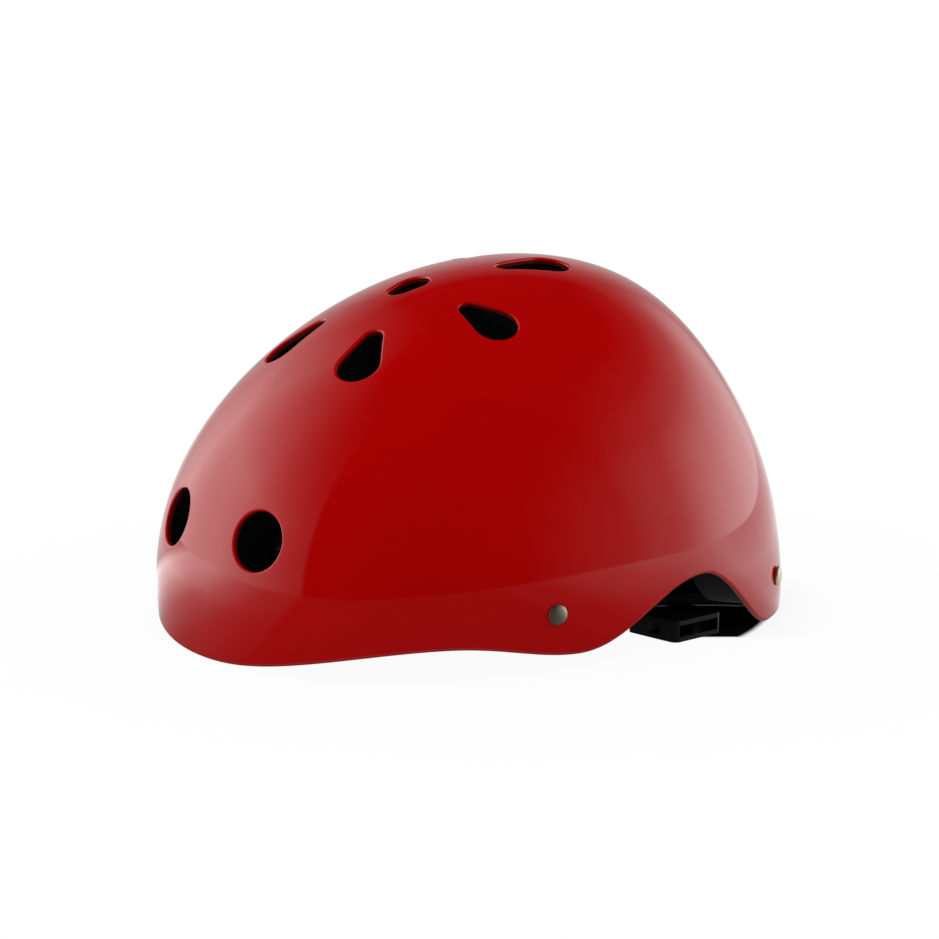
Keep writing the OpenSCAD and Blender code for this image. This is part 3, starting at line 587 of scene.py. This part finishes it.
linerSpec = {"wall": 24, "lip": 2.5, "lift": 7, "roll": 0.8, "rollSteps": 3, "wallSteps": 3, "rimSteps": 6,
             "grow": 1, "spacing": 5.0, "innerSpacing": 4.0, "around": 240}
linerOut, linerIn = [3.0] * 4, [28.0, 28.0, 25.0, 27.0]
liner = bowl("liner", linerOut, linerIn, linerSpec, beadFoam, beadFoam, beadFoam)
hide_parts("eps_liner")
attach(liner, "helmet")
print("liner:", len(liner.data.polygons), "faces")


# Anchor rivets and washers, turned from their profiles
anchors = {"front": {"angle": 61.5, "height": 23.6}, "rear": {"angle": 129.5, "height": 17.5},
           "tabDepth": 4.3, "washerDepth": 6.5}
rivetSpec = {"across": 8.5, "dome": 2.0, "shank": 4.8, "seat": 0.2, "rim": 0.5, "segments": 64,
             "headPoints": 20, "ease": [(0, 0.25), (-0.08, 0.08), (-0.25, 0)],
             "setEnd": [(0, 0.1), (0.9, 0.12), (1.4, 0.3), (1.2, 0.9), (0.3, 1.45), (-0.2, 1.6), (-1, 1.6), (-1, -2)]}
washerSpec = {"hole": 5, "across": 12, "thick": 0.8, "ease": 0.3, "easeDown": 0.25, "segments": 48}
turnedCrease = 35  # degrees between two faces from which an edge of a turned piece is sharp


def anchorPlace(which, side):
    spot = anchors[which]
    n = normalAt(spot["angle"], spot["height"])
    n = unit(np.array([n[0], n[1], 0]))
    u = np.array([0, 0, 1.0])
    v = np.cross(n, u)
    p = domePoint(spot["angle"], spot["height"], noInset)
    flip = np.array([1, side, 1])
    return p * flip, u * flip, v * flip, n * flip


def spun(profile, place, segments):  # points and faces of a profile of radii and heights, turned about its axis
    p, u, v, n = place
    points, faces, m = [], [], len(profile)
    for k in range(segments):
        c, s = cosSin(360 * k / segments)
        points.extend(p + r * (c * u + s * v) + h * n for r, h in profile)
        here, following = k * m, (k + 1) % segments * m
        faces.extend([here + j, following + j, following + j + 1, here + j + 1] for j in range(m - 1))
    return points, faces


def turned(name, profile, place, segments, material):
    obj = makeObject(name, *spun(profile, place, segments), material)
    cleanMesh(obj, turnedCrease)
    return obj


def rivetProfile():
    r, s, seat, rim = rivetSpec["across"] / 2, rivetSpec["shank"] / 2, rivetSpec["seat"], rivetSpec["rim"]
    head = [[r * math.sin(t), seat + rim + (rivetSpec["dome"] - rim) * math.cos(t)]
            for t in np.linspace(0, math.pi / 2, rivetSpec["headPoints"])]
    soft = [[r + x, seat + y] for x, y in rivetSpec["ease"]]
    setEnd = [[s + x, -anchors["washerDepth"] - y] for x, y in rivetSpec["setEnd"]]
    return head + soft + [[s, seat]] + setEnd + [[0, setEnd[-1][1]]]


def washerProfile():
    hole, r, ease = washerSpec["hole"] / 2, washerSpec["across"] / 2, washerSpec["ease"]
    low = -anchors["washerDepth"]
    high, down = low + washerSpec["thick"], washerSpec["easeDown"]
    return [[hole, low], [r - ease, low], [r, low + down], [r, high - down], [r - ease, high], [hole, high],
            [hole, low]]


for which in ("front", "rear"):
    for sideName, side in (("left", 1), ("right", -1)):
        place = anchorPlace(which, side)
        rivet = turned(f"{which}Rivet_{sideName}", rivetProfile(), place, rivetSpec["segments"], nickel)
        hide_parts(f"{which}_rivet_{sideName}")
        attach(rivet, "helmet")
        washer = turned(f"{which}Washer_{sideName}", washerProfile(), place, washerSpec["segments"], zinc)
        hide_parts(f"{which}_washer_{sideName}")
        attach(washer, "helmet")
print("rivets and washers set")


# Pads, with angles round the dome in degrees and heights in millimetres
padSpec = {"thick": 7, "off": 2.3, "swell": 1.0, "voxel": 2.2, "edge": 0.6, "backing": 1.6, "corner": 0.22,
           "cornerPower": 6, "atEdge": 0.3, "alongPower": 0.3, "upPower": 0.45, "pressure": 4, "frames": 20,
           "smoothing": 0.5, "smoothRounds": 3}
pads = {
    "brow": {"from": -38, "to": 38, "low": 18.5, "high": 37, "node": "brow_pad"},
    "sideLeft": {"from": 68, "to": 118, "low": 42, "high": 74, "node": "side_pad_left"},
    "sideRight": {"from": 242, "to": 292, "low": 42, "high": 74, "node": "side_pad_right"},
    "nape": {"from": 142, "to": 218, "low": 11, "high": 44, "node": "nape_pad"},
    "crown": {"from": 150, "to": 210, "low": 96, "high": 120, "node": "crown_pad"},
}


def padMesh(pad, na=44, nz=16):
    back = np.array(linerIn) + padSpec["off"]
    u, v = np.meshgrid(np.linspace(0, 1, na + 1), np.linspace(0, 1, nz + 1), indexing="ij")
    u, v = u.ravel(), v.ravel()
    a = pad["from"] + (pad["to"] - pad["from"]) * u
    span = pad["high"] - pad["low"]
    rounding = padSpec["corner"] * span * np.abs(2 * u - 1) ** padSpec["cornerPower"]
    z = pad["low"] + rounding + (span - 2 * rounding) * v
    full = np.sin(np.pi * u).clip(0) ** padSpec["alongPower"] * np.sin(np.pi * v).clip(0) ** padSpec["upPower"]
    thick = (padSpec["thick"] - padSpec["edge"]) * (padSpec["atEdge"] + (1 - padSpec["atEdge"]) * full)
    low, high = domePoint(a, z, back), domePoint(a, z, back[:, None] + thick)
    rows, count = nz + 1, (na + 1) * (nz + 1)
    faces = []
    for i in range(na):
        for j in range(nz):
            p = i * rows + j
            faces += [[p, p + 1, p + rows + 1, p + rows],
                      [count + p, count + p + rows, count + p + rows + 1, count + p + 1]]
    edge = ([i * rows for i in range(na)] + [na * rows + j for j in range(nz)]
            + [i * rows + nz for i in range(na, 0, -1)] + list(range(nz, 0, -1)))
    for k, p in enumerate(edge):
        q = edge[(k + 1) % len(edge)]
        faces.append([p, q, count + q, count + p])
    return np.concatenate([low, high]), faces


# Remeshed and blown up by a short cloth simulation, with a cap on how far a point moves
def swellPad(obj):
    scene = bpy.context.scene
    remesh = obj.modifiers.new("remesh", "REMESH")
    remesh.mode = "VOXEL"
    remesh.voxel_size = padSpec["voxel"] * mm
    bpy.context.view_layer.objects.active = obj
    bpy.ops.object.modifier_apply(modifier=remesh.name)
    start = np.array([v.co for v in obj.data.vertices])
    p = start / mm
    a = np.degrees(np.arctan2(p[:, 1], p[:, 0] - axisX))
    depth = domeRadius(a, p[:, 2], np.array(linerIn) + padSpec["off"]) - np.hypot(p[:, 0] - axisX, p[:, 1])
    backing = obj.vertex_groups.new(name="backing")
    backing.add([int(i) for i in np.where(depth < padSpec["backing"])[0]], 1.0, "REPLACE")
    cloth = obj.modifiers.new("cloth", "CLOTH")
    cloth.settings.use_pressure = True
    cloth.settings.uniform_pressure_force = padSpec["pressure"]
    cloth.settings.effector_weights.gravity = 0
    cloth.settings.vertex_group_mass = "backing"
    cloth.collision_settings.use_collision = False
    for f in range(1, padSpec["frames"] + 1):
        scene.frame_set(f)
    settled = obj.evaluated_get(bpy.context.evaluated_depsgraph_get())
    end = np.array([v.co for v in settled.data.vertices])
    scene.frame_set(1)
    obj.modifiers.remove(cloth)
    move = end - start
    size = np.linalg.norm(move, axis=1, keepdims=True)
    cap = padSpec["swell"] * mm
    move = move * np.minimum(1, cap / np.maximum(size, 1e-9))
    obj.data.vertices.foreach_set("co", (start + move).ravel())
    smooth = obj.modifiers.new("smooth", "SMOOTH")
    smooth.factor, smooth.iterations = padSpec["smoothing"], padSpec["smoothRounds"]
    bpy.ops.object.modifier_apply(modifier=smooth.name)
    subdivide = obj.modifiers.new("subdivide", "SUBSURF")
    subdivide.levels = subdivide.render_levels = 1
    bpy.ops.object.modifier_apply(modifier=subdivide.name)
    obj.data.polygons.foreach_set("use_smooth", [True] * len(obj.data.polygons))


for key, pad in pads.items():
    points, faces = padMesh(pad)
    obj = makeObject(key + "Pad", points, faces, knit)
    cleanMesh(obj)
    swellPad(obj)
    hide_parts(pad["node"])
    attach(obj, "helmet")
    print("pad:", key, len(obj.data.polygons), "faces")

dots = {"across": 14, "thick": 1, "off": 1, "segments": 40, "easeBack": 0.1, "easeFace": 0.25,
        "spots": [(-24, 28.25), (0, 28.25), (24, 28.25), (-106, 58), (-82, 58), (82, 58), (106, 58),
                  (158, 27.5), (180, 27.5), (202, 27.5), (168, 108), (192, 108)]}
dotInset = np.array(linerIn) + dots["off"]
r, t, low, high = dots["across"] / 2, dots["thick"], dots["easeBack"], dots["easeFace"]
dotProfile = [(0, 0), (r - low, 0), (r, low), (r, t - high), (r - high, t), (0, t)]
dotPoints, dotFaces = [], []
for a, z in dots["spots"]:
    n = normalAt(a, z, dotInset)
    v = unit(np.cross(n, [0, 0, 1]))
    p = domePoint(a, z, dotInset)
    points, faces = spun(dotProfile, (p, np.cross(v, n), v, -n), dots["segments"])
    dotFaces += [[i + len(dotPoints) for i in f] for f in faces]
    dotPoints += points
hookDots = makeObject("hookDots", dotPoints, dotFaces, hooks)
cleanMesh(hookDots, turnedCrease)
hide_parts("hook_dots")
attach(hookDots, "helmet")
print("hook dots:", len(dots["spots"]))


# Webbing: the yoke is both legs of a side, and chin is the strap beyond its divider
web = {"width": 20, "thick": 1.3, "step": 1.2, "foldSlack": 0.2, "aboveRivet": 9, "bendUp": 9, "footRoom": 7,
       "bendSteps": 12, "legSteps": 16, "edgeArc": 1.45, "edgePoints": 7, "faceRoom": 0.8, "facePoints": 9,
       "crease": 50}
yoke = {
    "foldFront": np.array([29.9989, 97.6118, 7.4]), "foldRear": np.array([-92.2639, 84.0238, 5.6]),
    "s": np.array([-0.993774, -0.110446, -0.0146307]), "t": np.array([0.11043, -0.993882, 0.00184425]),
    "n": np.array([-0.0147449, 0.000217089, 0.999891]),
    "length": 123.029, "dividerS": 73.2351, "dividerT": 38.7604, "bend": (5, 14), "end": (6, 8),
}
chin = {"origin": np.array([-37.0274, 37.955, 4.84938]), "roll": 2.225, "barRadius": 1.6, "barRoom": 0.25,
        "socketBar": 39.6, "plugBar": 36.6, "socketTail": 4.0, "plugTail": 5.5, "loop": 8, "buckleZ": 0.4,
        "foldFrom": (9, 5, 2), "foldTo": (3, 6), "foldStep": 0.5, "strapStep": 0.7, "weaveFrom": 22,
        "foldPoints": 17, "loopPoints": 15, "beforeJoin": [(-3, 0), (0, 0), (2, -0.1)], "offBar": (-2.2, -0.5),
        "sewGap": 0.05, "afterJoin": [(3.2, 0.35), (0.6, 0)]}


def smoothPath(points, rounds=3):  # cuts corners, and keeps both ends
    points = np.asarray(points, float)
    for _ in range(rounds):
        cut = [points[0]]
        for p, q in zip(points[:-1], points[1:]):
            cut += [p * 0.75 + q * 0.25, p * 0.25 + q * 0.75]
        points = np.array(cut + [points[-1]])
    return points


# A flat strap swept along a path. The width at each point lies along its own direction.
def ribbon(name, path, widths, material, startAt=0.0, step=None):
    path, widths = np.asarray(path, float), np.asarray(widths, float)
    joined = np.hstack([path, widths])
    lengths = np.concatenate([[0], np.cumsum(np.linalg.norm(np.diff(path, axis=0), axis=1))])
    count = max(3, int(round(lengths[-1] / (step or web["step"]))) + 1)
    at = np.linspace(0, lengths[-1], count)
    joined = np.stack([np.interp(at, lengths, joined[:, k]) for k in range(6)], -1)
    path, across = joined[:, :3], joined[:, 3:]
    ahead = unit(np.gradient(path, axis=0))
    across = unit(across)
    up = unit(np.cross(ahead, across))
    half, thick = web["width"] / 2, web["thick"] / 2
    arc, flat = web["edgeArc"], half - thick - web["faceRoom"]
    edge = [(half - thick * (1 - math.cos(t)), thick * math.sin(t))
            for t in np.linspace(-arc, arc, web["edgePoints"])]
    top = [(x, thick) for x in np.linspace(flat, -flat, web["facePoints"])]
    section = edge + top + [(-x, -y) for x, y in edge] + [(-x, -y) for x, y in top]
    points = np.concatenate([path[k] + np.outer([q[0] for q in section], across[k])
                             + np.outer([q[1] for q in section], up[k]) for k in range(count)])
    m = len(section)
    faces = [[j * m + k, (j + 1) * m + k, (j + 1) * m + (k + 1) % m, j * m + (k + 1) % m]
             for j in range(count - 1) for k in range(m)]
    faces += [list(range(m)), [(count - 1) * m + k for k in range(m - 1, -1, -1)]]
    obj = makeObject(name, points, faces, material)
    layer = obj.data.uv_layers.new(name="strap")
    place = np.array([[q[0] / 10, (startAt + at[k]) / 10] for k in range(count) for q in section])
    index = np.zeros(len(obj.data.loops), int)
    obj.data.loops.foreach_get("vertex_index", index)
    layer.data.foreach_set("uv", place[index].ravel())
    cleanMesh(obj, web["crease"])
    return obj


def bezier(p, q, r, steps):
    p, q, r = (np.array(v, float) for v in (p, q, r))
    return [(1 - t) ** 2 * p + 2 * t * (1 - t) * q + t * t * r for t in np.linspace(0, 1, steps + 1)]


def inYoke(s, t, n=0.0):
    return yoke["foldFront"] + s * yoke["s"] + t * yoke["t"] + n * yoke["n"]


def inChin(x, y, z):
    return chin["origin"] - x * yoke["s"] - y * yoke["t"] + z * yoke["n"]


# From the rivet down the shell's wall, over the foot, and along its leg into the divider
def anchorStrap(which, side, nodes):
    p, u, v, n = anchorPlace(which, 1)
    wall = p - n * (anchors["tabDepth"] + web["thick"] / 2)
    ahead = 1 if which == "front" else -1
    fold = yoke["foldFront"] if ahead > 0 else yoke["foldRear"]
    hingeS = 0 if ahead > 0 else yoke["length"]
    corner = np.array([wall[0], wall[1], fold[2]])
    inward = fold - corner
    bend, end = yoke["bend"], yoke["end"]
    flat = bezier((hingeS, web["foldSlack"]), (hingeS + ahead * bend[0], bend[1]),
                  (yoke["dividerS"] + ahead * end[0], yoke["dividerT"] + end[1]), web["legSteps"])
    leg = [inYoke(s, t) for s, t in flat]
    bendUp = min(web["bendUp"], anchors[which]["height"] - fold[2] - web["footRoom"])
    start = np.array([wall + u * web["aboveRivet"]]
                     + [corner + u * bendUp * (1 - math.sin(t)) + inward * (1 - math.cos(t))
                        for t in np.linspace(0, math.pi / 2, web["bendSteps"] + 1)])
    path = np.vstack([start, np.array(leg[1:])])
    widths = []
    for k, q in enumerate(path):
        if k < len(start):
            share = min(max(np.linalg.norm((q - corner)[:2]) / np.linalg.norm(inward[:2]), 0), 1)
            widths.append(unit((1 - share) * v + share * -yoke["s"] * np.sign(np.dot(v, -yoke["s"]))))
        else:
            ahead = unit(path[min(k + 1, len(path) - 1)] - path[k - 1])
            across = np.cross(yoke["n"], ahead)
            widths.append(across * np.sign(np.dot(across, widths[0])))
    flip = np.array([1, side, 1])
    sideName = "left" if side > 0 else "right"
    obj = ribbon(f"{which}Strap_{sideName}", path * flip, np.array(widths) * flip, webbing)
    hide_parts(*nodes)
    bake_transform(obj)
    return obj


for sideName, side in (("left", 1), ("right", -1)):
    for which in ("front", "rear"):
        anchorStrap(which, side, [f"{which}_tab_{sideName}", f"{which}_leg_{sideName}"])
print("anchor straps laid")


# The fold under the divider bends; the strap beyond it, with its sewn loop, rides on the buckle half
def chinStrap(side, bar, tail):
    sideName = "left" if side > 0 else "right"
    flip = np.array([1, side, 1])
    mid = chin["roll"] - web["thick"] / 2
    turn = [inChin(0, -mid * math.sin(t), mid * math.cos(t)) for t in np.linspace(0, math.pi, chin["foldPoints"])]
    foldPath = [inChin(0, y, mid) for y in chin["foldFrom"]] + turn + [inChin(0, y, -mid) for y in chin["foldTo"]]
    across = np.tile(-yoke["s"], (len(foldPath), 1))
    fold = ribbon(f"chinFold_{sideName}", np.array(foldPath) * flip, across * flip, webbing, step=chin["foldStep"])
    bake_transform(fold)
    join, r, z = bar - chin["loop"], chin["barRadius"] + chin["barRoom"] + web["thick"] / 2, chin["buckleZ"]
    head = [inChin(0, chin["foldTo"][-1], -mid)] + [inChin(0, join + y, up - mid) for y, up in chin["beforeJoin"]]
    loop = [inChin(0, bar + r * math.sin(t), z - r * math.cos(t))
            for t in np.linspace(0, math.pi, chin["loopPoints"])]
    above = web["thick"] + chin["sewGap"] - mid
    back = [inChin(0, bar + chin["offBar"][0], z + r + chin["offBar"][1])]
    back += [inChin(0, join + y, above + up) for y, up in chin["afterJoin"] + [(-tail, 0)]]
    path = np.vstack([head, loop, smoothPath([loop[-1]] + back, 2)[1:]])
    across = np.tile(-yoke["s"], (len(path), 1))
    strap = ribbon(f"chinStrap_{sideName}", path * flip, across * flip, webbing, chin["weaveFrom"], chin["strapStep"])
    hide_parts(f"chin_strap_{sideName}")
    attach(strap, f"chin_{sideName}")


chinStrap(1, chin["socketBar"], chin["socketTail"])
chinStrap(-1, chin["plugBar"], chin["plugTail"])
print("chin straps laid")

# Rigid fittings keep their CAD shape and get their finish here
fittings = {"divider_left": acetal, "divider_right": acetal, "buckle_socket": acetal, "buckle_plug": acetal,
            "latch_prong_front": acetal, "latch_prong_rear": acetal, "tail_keeper": rubber}
for node, finish in fittings.items():
    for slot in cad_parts[node].material_slots:
        slot.material = finish


# Studio: floor, tent, lamps and camera, with lengths in metres
studio = {"floorHalf": 12.0, "tentRadius": 3.5, "fill": 0.78, "lampTarget": (0, 0, 0.07),
          "target": (-0.02304, 0.0, 0.0672), "distance": 1.31786, "azimuth": 142.0, "elevation": 11.007,
          "sensor": 36, "lens": 114.99, "shift": (-0.0404, -0.0190)}


def profile(tree, value, stops, low, high):
    ramp = addNode(tree, "ValToRGB", {}, {})
    ramp.color_ramp.interpolation = "LINEAR"
    elements = ramp.color_ramp.elements
    while len(elements) < len(stops):
        elements.new(0.5)
    for element, (at, level) in zip(elements, sorted(stops)):
        element.position = (at - low) / (high - low)
        element.color = (level, level, level, 1)
    share = addNode(tree, "MapRange", {}, {"Value": value, "From Min": low, "From Max": high})
    tree.links.new(share.outputs["Result"], ramp.inputs["Fac"])
    return ramp.outputs["Color"]


# 1 for what is seen directly, mirrored or through glass, and 0 for what only gives light
def seenShare(tree):
    rays = addNode(tree, "LightPath", {}, {})
    seen = rays.outputs["Is Camera Ray"]
    for kind in ("Is Glossy Ray", "Is Transmission Ray"):
        seen = addNode(tree, "Math", {"operation": "MAXIMUM"}, {0: seen, 1: rays.outputs[kind]}).outputs[0]
    return seen


# Backdrop paper, matt coated: white and without gloss. Under the helmet's rear half a patch of painted shadow
# stands in for the dark there: an ellipse cut off by two slanting lines ahead and by one on each side.
paper = {
    "white": "#D6D6D6", "dark": "#0C0C0C", "most": 0.95,
    "centreX": -0.023, "reachX": 0.113, "reachY": 0.1185, "edge": [(0.99, 0), (1.01, 0.88), (1.25, 0.95), (2.6, 1)],
    "ahead": ((0.28, 0.019), (1.283, -0.0823)), "aheadFrom": -0.0015, "aheadTo": 0.002,
    "besideSlope": 0.42, "besideFrom": 0.035, "besideTo": 0.061,
}


def backdropPaper():
    material, tree, shader = newMaterial("mattBackdropPaper")
    where = addNode(tree, "NewGeometry", {}, {}).outputs["Position"]
    xyz = addNode(tree, "SeparateXYZ", {}, {"Vector": where})
    aside = addNode(tree, "Math", {"operation": "ABSOLUTE"}, {0: xyz.outputs["Y"]}).outputs[0]
    cuts = []
    for slope, start in paper["ahead"]:
        line = addNode(tree, "Math", {"operation": "MULTIPLY_ADD"}, {0: aside, 1: slope, 2: start})
        line = addNode(tree, "Math", {"operation": "ADD"}, {0: line.outputs[0], 1: xyz.outputs["X"]})
        cuts.append(addNode(tree, "MapRange", {}, {"Value": line.outputs[0], "From Min": paper["aheadFrom"],
                                                   "From Max": paper["aheadTo"], "To Max": paper["most"]}))
    ahead = addNode(tree, "Math", {"operation": "MAXIMUM"},
                    {0: cuts[0].outputs["Result"], 1: cuts[1].outputs["Result"]})
    beside = addNode(tree, "Math", {"operation": "MULTIPLY_ADD"},
                     {0: xyz.outputs["X"], 1: paper["besideSlope"], 2: aside})
    beside = addNode(tree, "MapRange", {}, {"Value": beside.outputs[0], "From Min": paper["besideFrom"],
                                            "From Max": paper["besideTo"], "To Max": paper["most"]})
    inside = addNode(tree, "Math", {"operation": "MINIMUM"}, {0: ahead.outputs[0], 1: beside.outputs["Result"]})
    where = addNode(tree, "VectorMath", {"operation": "MULTIPLY_ADD"},
                    {0: where, 1: (1 / paper["reachX"], 1 / paper["reachY"], 0),
                     2: (-paper["centreX"] / paper["reachX"], 0, 0)})
    reach = addNode(tree, "VectorMath", {"operation": "LENGTH"}, {0: where.outputs["Vector"]})
    outside = profile(tree, reach.outputs["Value"], paper["edge"], 0, 3)
    # 0 inside the painted shadow, where the floor takes paper's dark colour and loses its glow, and up to 1 outside
    # it
    clear = addNode(tree, "Math", {"operation": "MAXIMUM"}, {0: outside, 1: inside.outputs[0]}).outputs[0]
    colour = addNode(tree, "Mix", {"data_type": "RGBA"},
                     {"Factor": clear, 6: toLinear(paper["dark"]), 7: toLinear(paper["white"])})
    setInputs(tree, shader, {"Base Color": colour.outputs[2], "Roughness": 1.0, "Specular IOR Level": 0.0})
    amount = addNode(tree, "Math", {"operation": "MULTIPLY"}, {0: seenShare(tree), 1: clear})
    glow = addNode(tree, "Emission", {}, {"Color": (1, 1, 1, 1), "Strength": 1.0})
    mixed = addNode(tree, "MixShader", {}, {"Fac": amount.outputs[0], 1: shader.outputs[0], 2: glow.outputs[0]})
    tree.links.new(mixed.outputs[0], tree.nodes["Material Output"].inputs["Surface"])
    return material


half = studio["floorHalf"] * 1000
floor = makeObject("floor", [(-half, -half, 0), (half, -half, 0), (half, half, 0), (-half, half, 0)],
                   [[0, 1, 2, 3]], backdropPaper(), smooth=False)


# Azimuth, elevation and distance of a point on the stage, seen from the helmet
def stagePlace(tree):
    where = addNode(tree, "NewGeometry", {}, {}).outputs["Position"]
    xyz = addNode(tree, "SeparateXYZ", {}, {"Vector": where})
    back = addNode(tree, "Math", {"operation": "MULTIPLY"}, {0: xyz.outputs["Y"], 1: -1.0})
    angle = addNode(tree, "Math", {"operation": "ARCTAN2"}, {0: xyz.outputs["X"], 1: back.outputs[0]})
    far = addNode(tree, "VectorMath", {"operation": "LENGTH"}, {0: where}).outputs["Value"]
    share = addNode(tree, "Math", {"operation": "DIVIDE"}, {0: xyz.outputs["Z"], 1: far})
    climb = addNode(tree, "Math", {"operation": "ARCSINE"}, {0: share.outputs[0]})
    azimuth, rise = (addNode(tree, "Math", {"operation": "DEGREES"}, {0: part.outputs[0]}).outputs[0]
                     for part in (angle, climb))
    return azimuth, rise, far


# Painted reflections: a glowing black light tent with two softboxes and a white back, seen only in reflections:
# brightness by angle
softboxes = {
    "left": {"level": 2.2, "azimuth": [(-20, 0), (-8, 0.25), (10, 1), (44, 1), (60, 0.65), (75, 0.38), (90, 0.17),
                                       (97, 0.13), (99, 0)],
             "rise": [(0, 1), (26, 0.95), (32, 0.68), (40, 0.45), (50, 0.25), (60, 0.11), (74, 0)]},
    "right": {"level": 2.2, "azimuth": [(-172, 0), (-160, 0.03), (-146, 0.09), (-136, 0.35), (-126, 0.8), (-118, 1),
                                        (-100, 1), (-85, 0.75), (-72, 0.45), (-60, 0)],
              "rise": [(0, 1.3), (12, 1.15), (20, 0.88), (24, 0.68), (30, 0.31), (40, 0.06), (50, 0)]},
    "back": {"level": 0.56, "azimuth": [(-82, 0), (-64, 1), (-18, 1), (4, 0)],
             "rise": [(0, 1), (18, 0.85), (30, 0.35), (42, 0)]},
    "tent": 0.015,
}


def paintedReflectionTent():
    material, tree, _ = newMaterial("paintedReflectionTentGlow")
    azimuth, rise, _ = stagePlace(tree)
    light = softboxes["tent"]
    for name in ("left", "right", "back"):
        box = softboxes[name]
        share = addNode(tree, "Math", {"operation": "MULTIPLY"},
                        {0: profile(tree, azimuth, box["azimuth"], -180, 180),
                         1: profile(tree, rise, box["rise"], 0, 90)})
        light = addNode(tree, "Math", {"operation": "MULTIPLY_ADD"},
                        {0: share.outputs[0], 1: box["level"], 2: light}).outputs[0]
    glow = addNode(tree, "Emission", {}, {"Color": (1, 1, 1, 1), "Strength": light})
    tree.links.new(glow.outputs[0], tree.nodes["Material Output"].inputs["Surface"])
    return material


# Painted reflection of the table, glowing and seen only by the gloss: white at the back, painted shade in front and
# close by
tableShade = {
    "shade": 0.08, "nearStart": 0.14, "nearEnd": 0.3, "nearLevel": 0.45, "above": 0.4, "segments": 72,
    "rings": [0.05, 0.1, 0.2, 0.4, 0.8, 1.6, 3.4],
    "azimuth": [(-170, 0.05), (-150, 0.5), (-125, 2), (-105, 1.4), (-60, 0.85), (-30, 0.8), (0, 0.8), (24, 0.95),
                (31, 2.6), (42, 2.4), (60, 1), (78, 0.3), (97, 0.1), (99, 0)],
}


def paintedTableReflection():
    material, tree, _ = newMaterial("paintedTableReflectionGlow")
    azimuth, _, far = stagePlace(tree)
    near = addNode(tree, "MapRange", {}, {"Value": far, "From Min": tableShade["nearStart"],
                                          "From Max": tableShade["nearEnd"],
                                          "To Min": tableShade["nearLevel"]})
    light = addNode(tree, "Math", {"operation": "MULTIPLY_ADD"},
                    {0: profile(tree, azimuth, tableShade["azimuth"], -180, 180), 1: near.outputs["Result"],
                     2: tableShade["shade"]})
    glow = addNode(tree, "Emission", {}, {"Color": (1, 1, 1, 1), "Strength": light.outputs[0]})
    tree.links.new(glow.outputs[0], tree.nodes["Material Output"].inputs["Surface"])
    return material


def reflectedOnly(obj):
    obj.visible_camera = obj.visible_diffuse = obj.visible_shadow = False
    obj.visible_transmission = obj.visible_volume_scatter = False


tent = makeObject("lightTent", [(0, 0, 0)], [], paintedReflectionTent())
work = bmesh.new()
bmesh.ops.create_uvsphere(work, u_segments=64, v_segments=32, radius=studio["tentRadius"])
work.to_mesh(tent.data)
work.free()
reflectedOnly(tent)

around = tableShade["segments"]
tablePoints = [(1000 * r * math.cos(k * 2 * math.pi / around), 1000 * r * math.sin(k * 2 * math.pi / around),
                tableShade["above"]) for r in tableShade["rings"] for k in range(around)]
tableFaces = [[p + k, p + (k + 1) % around, p + around + (k + 1) % around, p + around + k]
              for p in range(0, len(tablePoints) - around, around) for k in range(around)] + [list(range(around))]
table = makeObject("tableReflection", tablePoints, tableFaces, paintedTableReflection(), smooth=False)
reflectedOnly(table)

world = bpy.data.worlds.new("studioWorld")
bpy.context.scene.world = world
world.use_nodes = True
worldTree = world.node_tree
level = addNode(worldTree, "MapRange", {}, {"Value": seenShare(worldTree), "To Min": studio["fill"], "To Max": 1.0})
background = worldTree.nodes["Background"]
background.inputs["Color"].default_value = (1, 1, 1, 1)
worldTree.links.new(level.outputs["Result"], background.inputs["Strength"])

lamps = {
    "leftSoftbox": {"azimuth": 60, "elevation": 18, "distance": 1.8, "size": 1.1, "power": 8},
    "rightSoftbox": {"azimuth": -125, "elevation": 48, "distance": 1.8, "size": 1.1, "power": 7},
    "topSoftbox": {"azimuth": 0, "elevation": 88, "distance": 1.8, "size": 1.4, "power": 1.5},
}


def direction(azimuth, elevation):
    a, e = math.radians(azimuth), math.radians(elevation)
    return np.array([math.sin(a) * math.cos(e), -math.cos(a) * math.cos(e), math.sin(e)])


def aim(obj, back):
    obj.rotation_mode = "QUATERNION"
    obj.rotation_quaternion = Vector(-back).to_track_quat("-Z", "Y")


for name, lamp in lamps.items():
    data = bpy.data.lights.new(name, "AREA")
    data.shape = "SQUARE"
    data.size = lamp["size"]
    data.energy = lamp["power"]
    obj = bpy.data.objects.new(name, data)
    bpy.context.scene.collection.objects.link(obj)
    back = direction(lamp["azimuth"], lamp["elevation"])
    obj.location = np.array(studio["lampTarget"]) + back * lamp["distance"]
    aim(obj, back)
    obj.visible_glossy = obj.visible_camera = False

cameraData = bpy.data.cameras.new("camera")
cameraData.sensor_width = studio["sensor"]
cameraData.lens = studio["lens"]
cameraData.shift_x, cameraData.shift_y = studio["shift"]
camera = bpy.data.objects.new("camera", cameraData)
bpy.context.scene.collection.objects.link(camera)
back = direction(studio["azimuth"], studio["elevation"])
camera.location = np.array(studio["target"]) + back * studio["distance"]
aim(camera, back)
bpy.context.scene.camera = camera
bpy.context.scene.view_settings.view_transform = "Standard"
print("studio set")
